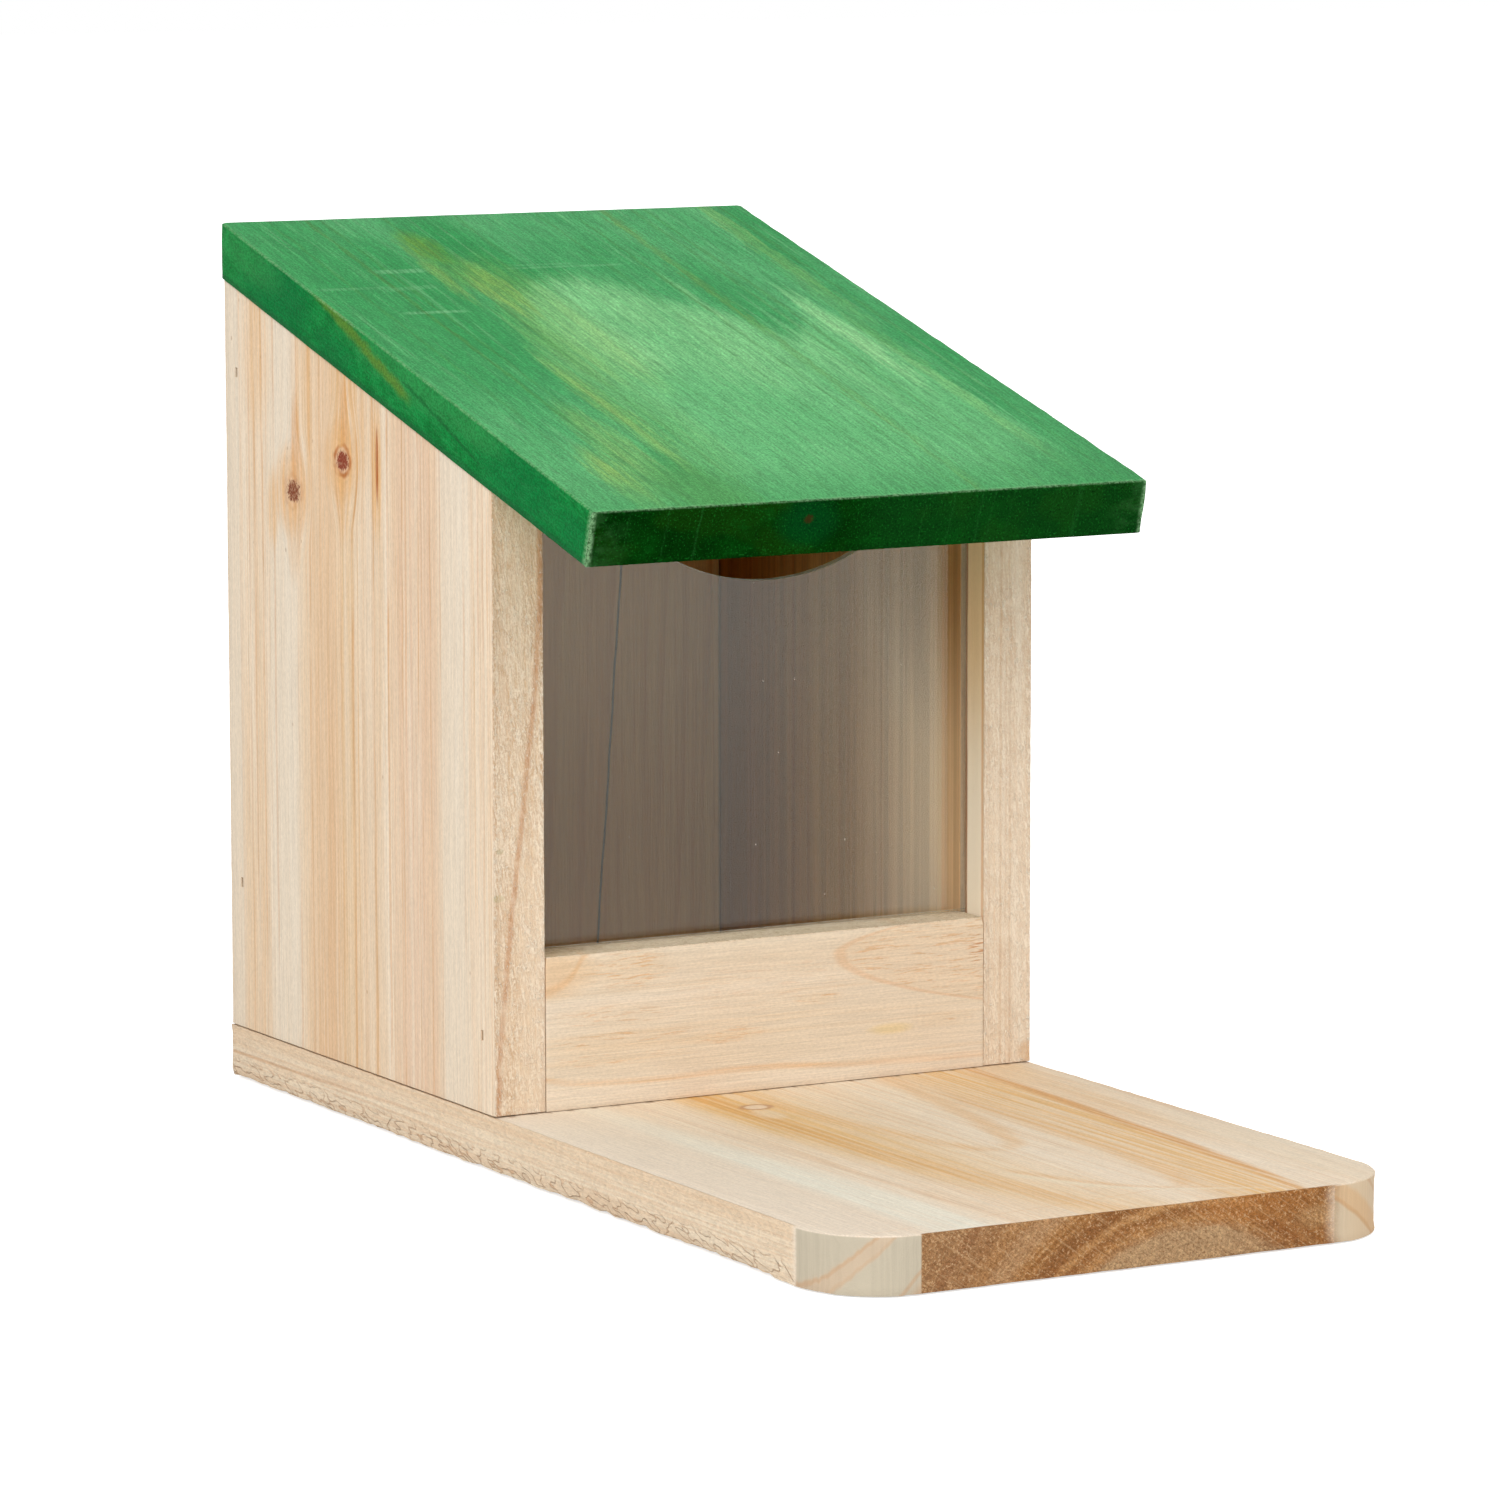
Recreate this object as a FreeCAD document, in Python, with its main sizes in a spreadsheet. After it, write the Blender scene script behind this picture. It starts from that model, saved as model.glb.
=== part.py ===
"""Squirrel feeder box: a small pine hopper with a clear front and a hinged sloping lid.

Frame: origin at the centre of the base board's underside, +X to the right seen from
the front, +Y to the rear, +Z up. Lengths are millimetres and angles degrees.
"""
import FreeCAD, Part
import os
import Sketcher

Vector = FreeCAD.Vector
Rotation = FreeCAD.Rotation

# Each driving size has one value here and one cell in the sheet
SIZES = [
    ("base_width", 120.0),
    ("base_length", 250.0),
    ("base_thick", 11.0),
    ("base_corner_radius", 17.0),
    ("side_inset", 0.3),
    ("body_depth", 118.0),
    ("total_height", 175.0),
    ("side_thick", 11.0),
    ("rear_thick", 11.0),
    ("rail_thick", 11.0),
    ("rail_height", 30.2),
    ("roof_slope", 15.6),
    ("lid_side_overhang", 0.5),
    ("lid_front_overhang", 41.5),
    ("lid_thick", 11.0),
    ("lid_play", 0.05),
    ("pane_thick", 2.0),
    ("pane_setback", 7.3),
    ("pane_end_gap", 0.4),
    ("pane_top_gap", 1.0),
    ("kerf_depth", 4.0),
    ("kerf_play", 0.2),
    ("notch_radius", 45.5),
    ("notch_depth", 22.0),
    ("notch_offset", 4.2),
    ("mount_hole_radius", 2.5),
    ("mount_hole_spacing", 80.0),
    ("mount_hole_low", 45.0),
    ("hinge_length", 25.0),
    ("hinge_from_side", 3.2),
    ("leaf_width", 9.2),
    ("leaf_thick", 0.9),
    ("leaf_corner_radius", 1.5),
    ("knuckle_gap", 0.2),
    ("knuckle_stand_off", 0.25),
    ("pin_radius", 0.8),
    ("pin_play", 0.05),
    ("pin_head_radius", 1.3),
    ("pin_head_thick", 0.5),
    ("screw_length", 10.0),
    ("screw_shank_radius", 1.0),
    ("screw_head_radius", 1.8),
    ("screw_tip", 2.0),
    ("screw_spacing", 16.0),
    ("screw_from_pin", 5.6),
    ("brad_length", 25.0),
    ("brad_wide", 1.25),
    ("brad_thin", 1.0),
    ("brad_head_long", 2.0),
    ("brad_head_thick", 0.8),
    ("brad_set", 0.4),
    ("rear_brad_from_top", 18.5),
    ("rear_brad_from_base", 30.0),
    ("side_brad_margin", 15.0),
    ("cross_brad_offset", 20.0),
]

# What follows from the driving sizes; each line may use the lines above it
WORKED = [
    ("rear_plane", "Sizes.base_length / 2"),
    ("front_plane", "rear_plane - Sizes.body_depth"),
    ("body_half", "Sizes.base_width / 2 - Sizes.side_inset"),
    ("inner_half", "body_half - Sizes.side_thick"),
    ("fall", "tan(Sizes.roof_slope)"),
    ("lid_drop", "Sizes.lid_thick / cos(Sizes.roof_slope)"),
    ("joint_height", "Sizes.total_height - lid_drop"),
    ("board_top", "joint_height - Sizes.lid_play"),
    ("lid_front", "front_plane - Sizes.lid_front_overhang"),
    ("lid_front_height", "Sizes.total_height - (rear_plane - lid_front) * fall"),
    ("lid_nose_back", "Sizes.lid_thick * sin(Sizes.roof_slope)"),
    ("lid_nose_drop", "Sizes.lid_thick * cos(Sizes.roof_slope)"),
    ("rail_top", "Sizes.base_thick + Sizes.rail_height"),
    ("pane_front", "front_plane + Sizes.pane_setback"),
    ("pane_rear", "pane_front + Sizes.pane_thick"),
    ("pane_half", "inner_half + Sizes.kerf_depth - Sizes.pane_end_gap"),
    ("pane_top", "joint_height - (rear_plane - pane_front) * fall - Sizes.pane_top_gap"),
    ("notch_centre", "pane_top - Sizes.notch_depth + Sizes.notch_radius"),
    ("knuckle_radius", "Sizes.pin_radius + Sizes.pin_play + Sizes.leaf_thick"),
    ("knuckle_length", "(Sizes.hinge_length - 2 * Sizes.knuckle_gap) / 3"),
    ("hinge_offset", "inner_half - Sizes.hinge_from_side - Sizes.hinge_length / 2"),
    ("leaf_back", "knuckle_radius + Sizes.knuckle_stand_off"),
    ("axis_depth", "rear_plane + leaf_back"),
    ("screw_face", "rear_plane + Sizes.leaf_thick"),
    ("rear_board_middle", "rear_plane - Sizes.rear_thick / 2"),
    ("rail_middle", "front_plane + Sizes.rail_thick / 2"),
    ("side_middle", "body_half - Sizes.side_thick / 2"),
]


def make_sheets(doc):
    """Fill one sheet with the driving sizes and one with what follows from them."""
    driving = doc.addObject("Spreadsheet::Sheet", "Sizes")
    for row, (name, size) in enumerate(SIZES, start=1):
        driving.set("A%d" % row, str(size))
        driving.setAlias("A%d" % row, name)
    worked = doc.addObject("Spreadsheet::Sheet", "Worked")
    for row, (name, formula) in enumerate(WORKED, start=1):
        worked.set("A%d" % row, "=" + formula)
        worked.setAlias("A%d" % row, name)
        doc.recompute()
    return driving


doc = FreeCAD.newDocument("SquirrelFeeder")
sheet = make_sheets(doc)


def value(expression):
    """Give the number that an expression on the sheets stands for now."""
    return float(sheet.evalExpression(expression))


def place(item, x="0", y="0", z="0", rotation=None):
    """Bind where an object stands to expressions, with a fixed turn."""
    item.Placement = FreeCAD.Placement(Vector(value(x), value(y), value(z)), rotation or Rotation())
    item.setExpression("Placement.Base.x", x)
    item.setExpression("Placement.Base.y", y)
    item.setExpression("Placement.Base.z", z)


# Sketches and features

def new_body(name):
    return doc.addObject("PartDesign::Body", name)


def new_sketch(body, name, role):
    """Add a sketch on one of the body's own origin planes."""
    sketch = body.newObject("Sketcher::SketchObject", name)
    plane = next(item for item in body.Origin.OriginFeatures if item.Role == role)
    sketch.AttachmentSupport = (plane, [""])
    sketch.MapMode = "FlatFace"
    return sketch


def bind_point(sketch, geometry, point, across, up):
    """Tie a point of the sketch to expressions, measured from the sketch's origin."""
    for kind, expression in (("DistanceX", across), ("DistanceY", up)):
        constraint = Sketcher.Constraint(kind, -1, 1, geometry, point, value(expression))
        index = sketch.addConstraint(constraint)
        sketch.setExpression("Constraints[%d]" % index, expression)


def draw_outline(sketch, corners):
    """Draw a closed outline of straight lines through corners given as expressions."""
    points = [Vector(value(across), value(up), 0) for across, up in corners]
    count = len(points)
    lines = []
    for index in range(count):
        line = Part.LineSegment(points[index], points[(index + 1) % count])
        lines.append(sketch.addGeometry(line, False))
    for index in range(count):
        sketch.addConstraint(Sketcher.Constraint("Coincident", lines[index], 2, lines[(index + 1) % count], 1))
    for line, (across, up) in zip(lines, corners):
        bind_point(sketch, line, 1, across, up)


def draw_box(sketch, left, right, low, high):
    draw_outline(sketch, [(left, low), (right, low), (right, high), (left, high)])


def draw_circle(sketch, across, up, radius):
    circle = Part.Circle(Vector(value(across), value(up), 0), Vector(0, 0, 1), value(radius))
    index = sketch.addGeometry(circle, False)
    bind_point(sketch, index, 3, across, up)
    constraint = sketch.addConstraint(Sketcher.Constraint("Radius", index, value(radius)))
    sketch.setExpression("Constraints[%d]" % constraint, radius)


def add_pad(body, sketch, name, length, middle=False):
    pad = body.newObject("PartDesign::Pad", name)
    pad.Profile = sketch
    pad.setExpression("Length", length)
    pad.Midplane = middle
    doc.recompute()
    return pad


def add_pocket(body, sketch, name, length, middle=True):
    """Cut a sketch out of the body, and make sure that the cut took something away."""
    before = body.Shape.Volume
    pocket = body.newObject("PartDesign::Pocket", name)
    pocket.Profile = sketch
    pocket.Type = "Length"
    pocket.setExpression("Length", length)
    pocket.Midplane = middle
    pocket.Reversed = not middle
    doc.recompute()
    if body.Shape.Volume >= before:
        raise RuntimeError(name + " cuts nothing")
    return pocket


def add_fillet(body, name, wanted, radius):
    """Round the edges that wanted picks by their middle point and direction."""
    blank = body.Tip
    edges = []
    for number, edge in enumerate(body.Shape.Edges, start=1):
        direction = edge.tangentAt(edge.FirstParameter)
        middle = edge.valueAt((edge.FirstParameter + edge.LastParameter) / 2)
        if wanted(middle, direction):
            edges.append("Edge%d" % number)
    fillet = body.newObject("PartDesign::Fillet", name)
    fillet.Base = (blank, edges)
    fillet.setExpression("Radius", radius)
    doc.recompute()
    return fillet


# Fasteners: one master of each kind, linked to every place where one is driven

def make_screw(name, tip):
    """Countersunk wood screw: its head's flat face is at the origin and its tip points up."""
    body = new_body(name)
    sketch = new_sketch(body, name + "Profile", "XZ_Plane")
    head_depth = "Sizes.screw_head_radius - Sizes.screw_shank_radius"
    draw_outline(sketch, [
        ("0", "0"),
        ("Sizes.screw_head_radius", "0"),
        ("Sizes.screw_shank_radius", head_depth),
        ("Sizes.screw_shank_radius", "Sizes.screw_length - " + tip),
        ("0", "Sizes.screw_length"),
    ])
    turned = body.newObject("PartDesign::Revolution", name + "Turned")
    turned.Profile = sketch
    turned.ReferenceAxis = (sketch, ["V_Axis"])
    turned.Angle = 360
    doc.recompute()
    return body


def make_block(name, long, wide, low, high):
    """A block centred on the upright axis, from low to high."""
    block = doc.addObject("Part::Box", name)
    block.setExpression("Length", wide)
    block.setExpression("Width", long)
    block.setExpression("Height", "(%s) - (%s)" % (high, low))
    place(block, "-(%s) / 2" % wide, "-(%s) / 2" % long, low)
    return block


def make_brad(name, head_start):
    """T-headed brad driven upwards from a board face at the origin."""
    head_end = "Sizes.brad_set + Sizes.brad_head_thick"
    shank_end = "Sizes.brad_set + Sizes.brad_length"
    shank = make_block(name + "Shank", "Sizes.brad_wide", "Sizes.brad_thin", "Sizes.brad_set", shank_end)
    head = make_block(name + "Head", "Sizes.brad_head_long", "Sizes.brad_thin", head_start, head_end)
    brad = doc.addObject("Part::Fuse", name)
    brad.Base = shank
    brad.Tool = head
    doc.recompute()
    return brad


screw_master = make_screw("ScrewMaster", "Sizes.screw_tip")
screw_cutter = make_screw("ScrewCutter", "0")
brad_master = make_brad("BradMaster", "Sizes.brad_set")
brad_cutter = make_brad("BradCutter", "0")


def drive(name, master, spots, rotation):
    """Group copies of a fastener, one at each spot, as separate solids."""
    links = []
    for number, (x, y, z) in enumerate(spots, start=1):
        link = doc.addObject("App::Link", "%s%d" % (name, number))
        link.LinkedObject = master
        link.LinkTransform = False
        place(link, x, y, z, rotation)
        links.append(link)
    group = doc.addObject("Part::Compound", name)
    group.Links = links
    doc.recompute()
    return group


def cut_from(name, piece, tools):
    """Take the fasteners' own shapes out of a piece, so that each sits in its hole."""
    cutter = doc.addObject("Part::Compound", name + "Cutters")
    cutter.Links = tools
    cut = doc.addObject("Part::Cut", name)
    cut.Base = piece
    cut.Tool = cutter
    doc.recompute()
    if cut.Shape.Volume >= piece.Shape.Volume:
        raise RuntimeError(name + " has no holes for its fasteners")
    return cut


# Boards

def make_base():
    """Flat board that the box stands on, with both front corners rounded."""
    body = new_body("BaseBlank")
    sketch = new_sketch(body, "BaseOutline", "XY_Plane")
    half = "Sizes.base_width / 2"
    draw_box(sketch, "-" + half, half, "-Worked.rear_plane", "Worked.rear_plane")
    add_pad(body, sketch, "BasePad", "Sizes.base_thick")
    add_fillet(
        body,
        "BaseCorners",
        lambda middle, direction: abs(direction.z) > 0.99 and middle.y < 0,
        "Sizes.base_corner_radius",
    )
    return body


def make_side(name, sign):
    """Upright side board with a sloping top and a saw kerf for the pane on its inner face."""
    body = new_body(name)
    profile = new_sketch(body, name + "Profile", "YZ_Plane")
    base_top = "Sizes.base_thick"
    front_top = "Worked.board_top - Sizes.body_depth * Worked.fall"
    draw_outline(profile, [
        ("Worked.front_plane", base_top),
        ("Worked.rear_plane", base_top),
        ("Worked.rear_plane", "Worked.board_top"),
        ("Worked.front_plane", front_top),
    ])
    add_pad(body, profile, name + "Pad", "Sizes.side_thick", middle=True)
    kerf = new_sketch(body, name + "Kerf", "XY_Plane")
    inner = "%d * Sizes.side_thick / 2" % -sign
    bottom = "%d * (Sizes.side_thick / 2 - Sizes.kerf_depth)" % -sign
    draw_box(
        kerf,
        inner,
        bottom,
        "Worked.pane_front - Sizes.kerf_play",
        "Worked.pane_rear + Sizes.kerf_play",
    )
    add_pocket(body, kerf, name + "KerfCut", "Sizes.total_height", middle=False)
    place(body, x="%d * Worked.side_middle" % sign)
    return body


def make_rear():
    """Rear board between the sides, bevelled under the lid, with two holes for fixing screws."""
    body = new_body("RearBlank")
    profile = new_sketch(body, "RearProfile", "YZ_Plane")
    inner = "Worked.rear_plane - Sizes.rear_thick"
    draw_outline(profile, [
        (inner, "Sizes.base_thick"),
        ("Worked.rear_plane", "Sizes.base_thick"),
        ("Worked.rear_plane", "Worked.board_top"),
        (inner, "Worked.board_top - Sizes.rear_thick * Worked.fall"),
    ])
    add_pad(body, profile, "RearPad", "2 * Worked.inner_half", middle=True)
    holes = new_sketch(body, "RearHoles", "XZ_Plane")
    draw_circle(holes, "0", "Sizes.mount_hole_low", "Sizes.mount_hole_radius")
    draw_circle(holes, "0", "Sizes.mount_hole_low + Sizes.mount_hole_spacing", "Sizes.mount_hole_radius")
    add_pocket(body, holes, "RearHolesCut", "2 * Sizes.base_length")
    return body


def make_rail():
    """Low board across the front, which holds the food in and carries the pane."""
    body = new_body("RailBlank")
    profile = new_sketch(body, "RailProfile", "YZ_Plane")
    rear = "Worked.front_plane + Sizes.rail_thick"
    draw_box(profile, "Worked.front_plane", rear, "Sizes.base_thick", "Worked.rail_top")
    add_pad(body, profile, "RailPad", "2 * Worked.inner_half", middle=True)
    return body


def make_pane():
    """Clear pane that stands on the rail in both kerfs, with a round notch in its top edge."""
    body = new_body("PaneBlank")
    outline = new_sketch(body, "PaneOutline", "XZ_Plane")
    draw_box(outline, "-Worked.pane_half", "Worked.pane_half", "Worked.rail_top", "Worked.pane_top")
    add_pad(body, outline, "PanePad", "Sizes.pane_thick", middle=True)
    notch = new_sketch(body, "PaneNotch", "XZ_Plane")
    draw_circle(notch, "Sizes.notch_offset", "Worked.notch_centre", "Sizes.notch_radius")
    add_pocket(body, notch, "PaneNotchCut", "2 * Sizes.pane_thick")
    place(body, y="Worked.pane_front + Sizes.pane_thick / 2")
    return body


def make_lid():
    """Sloping lid board: cut upright at the rear and square to its own faces in front."""
    body = new_body("LidBlank")
    profile = new_sketch(body, "LidProfile", "YZ_Plane")
    draw_outline(profile, [
        ("Worked.rear_plane", "Worked.joint_height"),
        ("Worked.rear_plane", "Sizes.total_height"),
        ("Worked.lid_front", "Worked.lid_front_height"),
        ("Worked.lid_front + Worked.lid_nose_back", "Worked.lid_front_height - Worked.lid_nose_drop"),
    ])
    add_pad(body, profile, "LidPad", "2 * (Worked.body_half + Sizes.lid_side_overhang)", middle=True)
    return body


# Butt hinges, each drawn about its own pin's middle

def make_leaf(name, side, upward):
    """Hinge leaf: a plate with rounded corners and rolled knuckles round the pin.

    The body leaf hangs down from the pin and has the two outer knuckles; the lid leaf
    stands up from it and has the middle one, with running play on the pin.
    """
    sign = 1 if upward else -1
    body = new_body(name)
    plate = new_sketch(body, name + "Plate", "YZ_Plane")
    draw_outline(plate, [
        ("-Worked.leaf_back", "0"),
        ("-Worked.leaf_back", "%d * Sizes.leaf_width" % sign),
        ("-Worked.leaf_back + Sizes.leaf_thick", "%d * Sizes.leaf_width" % sign),
        ("-Worked.leaf_back + Sizes.leaf_thick", "0"),
    ])
    add_pad(body, plate, name + "PlatePad", "Sizes.hinge_length", middle=True)
    add_fillet(
        body,
        name + "Corners",
        lambda middle, direction: abs(direction.y) > 0.99 and abs(middle.z) > 1.0,
        "Sizes.leaf_corner_radius",
    )
    roll = new_sketch(body, name + "Roll", "YZ_Plane")
    draw_circle(roll, "0", "0", "Worked.knuckle_radius")
    add_pad(body, roll, name + "RollPad", "Sizes.hinge_length", middle=True)
    gaps = new_sketch(body, name + "Gaps", "XZ_Plane")
    reach = "%d * (Worked.knuckle_radius + Sizes.knuckle_gap)" % sign
    beyond = "%d * Sizes.leaf_width" % -sign
    middle_end = "Worked.knuckle_length / 2"
    if upward:
        draw_box(gaps, "-Sizes.hinge_length", "-" + middle_end, reach, beyond)
        draw_box(gaps, middle_end, "Sizes.hinge_length", reach, beyond)
    else:
        draw_box(gaps, "-(%s + Sizes.knuckle_gap)" % middle_end, middle_end + " + Sizes.knuckle_gap", reach, beyond)
    add_pocket(body, gaps, name + "GapsCut", "4 * Worked.leaf_back")
    bore = new_sketch(body, name + "Bore", "YZ_Plane")
    draw_circle(bore, "0", "0", "Sizes.pin_radius + Sizes.pin_play" if upward else "Sizes.pin_radius")
    add_pocket(body, bore, name + "BoreCut", "2 * Sizes.hinge_length")
    place(body, "%d * Worked.hinge_offset" % side, "Worked.axis_depth", "Worked.joint_height")
    return body


def make_pin(name, side):
    """Hinge pin with both ends peened over the outer knuckles."""
    body = new_body(name)
    profile = new_sketch(body, name + "Profile", "XZ_Plane")
    half = "Sizes.hinge_length / 2"
    end = "(%s + Sizes.pin_head_thick)" % half
    right = [
        (half, "Sizes.pin_radius"),
        (half, "Sizes.pin_head_radius"),
        (end, "Sizes.pin_radius"),
        (end, "0"),
    ]
    left = [("-" + across, up) for across, up in reversed(right)]
    draw_outline(profile, right + left)
    turned = body.newObject("PartDesign::Revolution", name + "Turned")
    turned.Profile = profile
    turned.ReferenceAxis = (profile, ["H_Axis"])
    turned.Angle = 360
    doc.recompute()
    place(body, "%d * Worked.hinge_offset" % side, "Worked.axis_depth", "Worked.joint_height")
    return body


# Where the fasteners go

INTO_BOX = Rotation(Vector(1, 0, 0), 90)


def hinge_screw_spots(side, upward):
    """Two screws in a row along the leaf, driven forwards from the leaf's outer face."""
    sign = "+" if upward else "-"
    height = "Worked.joint_height %s Sizes.screw_from_pin" % sign
    return [
        ("%d * Worked.hinge_offset %s Sizes.screw_spacing / 2" % (side, step), "Worked.screw_face", height)
        for step in ("-", "+")
    ]


def side_brad_spots(side):
    """Two brads into the rear board's edge and one into the rail's end."""
    face = "%d * Worked.body_half" % side
    return [
        (face, "Worked.rear_board_middle", "Worked.joint_height - Sizes.rear_brad_from_top"),
        (face, "Worked.rear_board_middle", "Sizes.base_thick + Sizes.rear_brad_from_base"),
        (face, "Worked.rail_middle", "Sizes.base_thick + Sizes.rail_height / 2"),
    ]


def base_brad_spots():
    """Brads up through the base: three into each side, two into the rear board and two into the rail."""
    spots = []
    for side in (-1, 1):
        across = "%d * Worked.side_middle" % side
        spots.append((across, "Worked.front_plane + Sizes.side_brad_margin", "0"))
        spots.append((across, "Worked.rear_plane - Sizes.body_depth / 2", "0"))
        spots.append((across, "Worked.rear_plane - Sizes.side_brad_margin", "0"))
        spots.append(("%d * Sizes.cross_brad_offset" % side, "Worked.rear_board_middle", "0"))
        spots.append(("%d * Sizes.cross_brad_offset" % side, "Worked.rail_middle", "0"))
    return spots


# Assembly

def build_feeder():
    """Make every piece and give it its name."""
    pieces = {}
    sides = {"left": -1, "right": 1}
    base_spots = base_brad_spots()
    pieces["base_brads"] = drive("BaseBrads", brad_master, base_spots, Rotation())
    base_cutter = drive("BaseBradCutters", brad_cutter, base_spots, Rotation())

    side_cutters = []
    for word, sign in sides.items():
        # The head's long side stays upright, along the grain of the side board
        inward = Rotation(Vector(0, -sign, 0), Vector(0, 0, 1), Vector(-sign, 0, 0), "ZYX")
        spots = side_brad_spots(sign)
        pieces[word + "_side_brads"] = drive(word.title() + "Brads", brad_master, spots, inward)
        cutter = drive(word.title() + "BradCutters", brad_cutter, spots, inward)
        side_cutters.append(cutter)
        board = make_side(word.title() + "Blank", sign)
        pieces[word + "_side"] = cut_from(word.title() + "Side", board, [cutter, base_cutter])

    screw_cutters = {}
    for word, sign in sides.items():
        for part, upward in (("body", False), ("lid", True)):
            title = word.title() + part.title()
            spots = hinge_screw_spots(sign, upward)
            screws = drive(title + "Screws", screw_master, spots, INTO_BOX)
            cutter = drive(title + "ScrewCutters", screw_cutter, spots, INTO_BOX)
            leaf = make_leaf(title + "LeafBlank", sign, upward)
            pieces["%s_hinge_%s_screws" % (word, part)] = screws
            pieces["%s_hinge_%s_leaf" % (word, part)] = cut_from(title + "Leaf", leaf, [cutter])
            screw_cutters[(word, part)] = cutter
        pieces[word + "_hinge_pin"] = make_pin(word.title() + "Pin", sign)

    body_cutters = [screw_cutters[(word, "body")] for word in sides]
    lid_cutters = [screw_cutters[(word, "lid")] for word in sides]
    pieces["base_board"] = cut_from("BaseBoard", make_base(), [base_cutter])
    pieces["rear_board"] = cut_from("RearBoard", make_rear(), side_cutters + [base_cutter] + body_cutters)
    pieces["front_rail"] = cut_from("FrontRail", make_rail(), side_cutters + [base_cutter])
    pieces["window_pane"] = make_pane()
    pieces["lid_board"] = cut_from("LidBoard", make_lid(), lid_cutters)
    for label, piece in pieces.items():
        piece.Label = label
    return pieces


def check_document():
    """Stop if any object of the document failed to compute."""
    for item in doc.Objects:
        if "Invalid" in item.State or "Error" in item.State:
            raise RuntimeError("%s failed: %s" % (item.Label, item.State))


def write_parts(pieces):
    """Check every piece's shape, then write each one to its own file."""
    for label, piece in pieces.items():
        if piece.Shape.isNull() or not piece.Shape.isValid():
            raise RuntimeError(label + " has no valid shape")
    os.makedirs("parts", exist_ok=True)
    for label, piece in pieces.items():
        piece.Shape.exportStep("parts/%s.step" % label)
        print(label, len(piece.Shape.Solids), "solids", round(piece.Shape.Volume, 1), "mm3")


feeder = build_feeder()
doc.recompute()
check_document()
write_parts(feeder)
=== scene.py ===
"""Looks of the squirrel feeder box: worn planks, green stain, a clear pane and zinc hinges.

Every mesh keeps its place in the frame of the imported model, in metres. Patterns are
worked out in millimetres from each piece's own Object coordinates.
"""
from math import cos, radians, sin, tan

import bmesh
import bpy
from mathutils import Matrix, Vector


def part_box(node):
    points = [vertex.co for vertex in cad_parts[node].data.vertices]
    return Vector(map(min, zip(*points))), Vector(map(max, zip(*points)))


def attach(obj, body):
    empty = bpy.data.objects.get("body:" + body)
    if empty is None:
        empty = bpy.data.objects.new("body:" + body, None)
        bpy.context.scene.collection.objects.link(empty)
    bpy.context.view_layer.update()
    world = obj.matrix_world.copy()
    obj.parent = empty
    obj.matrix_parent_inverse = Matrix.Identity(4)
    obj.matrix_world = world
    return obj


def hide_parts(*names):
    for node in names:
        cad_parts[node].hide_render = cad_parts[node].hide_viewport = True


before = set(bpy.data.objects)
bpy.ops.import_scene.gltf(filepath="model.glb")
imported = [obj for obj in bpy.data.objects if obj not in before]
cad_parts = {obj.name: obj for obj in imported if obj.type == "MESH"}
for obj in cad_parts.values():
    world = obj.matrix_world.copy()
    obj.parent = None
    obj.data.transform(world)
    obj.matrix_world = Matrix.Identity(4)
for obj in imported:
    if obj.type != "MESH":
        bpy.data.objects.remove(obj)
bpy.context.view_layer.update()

bl_info = {
    "name": "Squirrel feeder box",
    "version": (1, 0, 0),
    "blender": (4, 5, 0),
    "location": "3D View > Sidebar > Feeder",
    "description": "Builds the visible planks, pane and hinges round the packed model",
    "category": "Object",
}

MM = 0.001


def corners(node):
    """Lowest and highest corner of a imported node, in millimetres."""
    low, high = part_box(node)
    return Vector(low) / MM, Vector(high) / MM


def display(*levels):
    """Linear colour for red, green and blue as they show on a screen, from 0 to 255."""
    return tuple(level / 255 / 12.92 if level <= 10 else ((level / 255 + 0.055) / 1.055) ** 2.4 for level in levels)


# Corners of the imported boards, then places and sizes, all in millimetres
BASE_LOW, BASE_HIGH = corners("base_board")
SIDE_LOW, SIDE_HIGH = corners("left_side")
RIGHT_LOW, RIGHT_HIGH = corners("right_side")
REAR_LOW, REAR_HIGH = corners("rear_board")
RAIL_LOW, RAIL_HIGH = corners("front_rail")
PANE_LOW, PANE_HIGH = corners("window_pane")
LID_LOW, LID_HIGH = corners("lid_board")
SIDE_INNER = RIGHT_LOW.x
ROOF_SLOPE = radians(15.6)
FALL = tan(ROOF_SLOPE)
LID_THICK = 11
PANE_EDGE_FILM = 44.2
LEFT_KNOTS = ((93.3, 123.3), (70.9, 131.1))
BRAD_POCKET = (2, 1, 0.42)
MOUNT_HEIGHTS = (45, 125)
KERF_DEPTH, KERF_PLAY = 4, 0.2
WOOD_SHINE = 0.12

# The photo's camera, and white for lights
CAMERA_PLACE = Vector((-647.9, -1141.2, 259.3))
CAMERA_YAW, CAMERA_PITCH, CAMERA_ROLL = radians(29.28), radians(7.85), radians(-0.085)
FOCAL_PIXELS, IMAGE_PIXELS = 6894.3, 1500
WHITE = (1, 1, 1, 1)


# What a user may change

def length_property(name, description, default, most):
    """A length; its default and its highest value are given in millimetres."""
    return bpy.props.FloatProperty(name=name, description=description, default=default * MM, min=0, max=most * MM,
                                   subtype="DISTANCE", unit="LENGTH")


def colour_property(name, description, *levels):
    """A colour; its default is given as it shows on a screen."""
    return bpy.props.FloatVectorProperty(name=name, description=description, default=display(*levels), size=3,
                                         min=0, max=1, subtype="COLOR")


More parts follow.
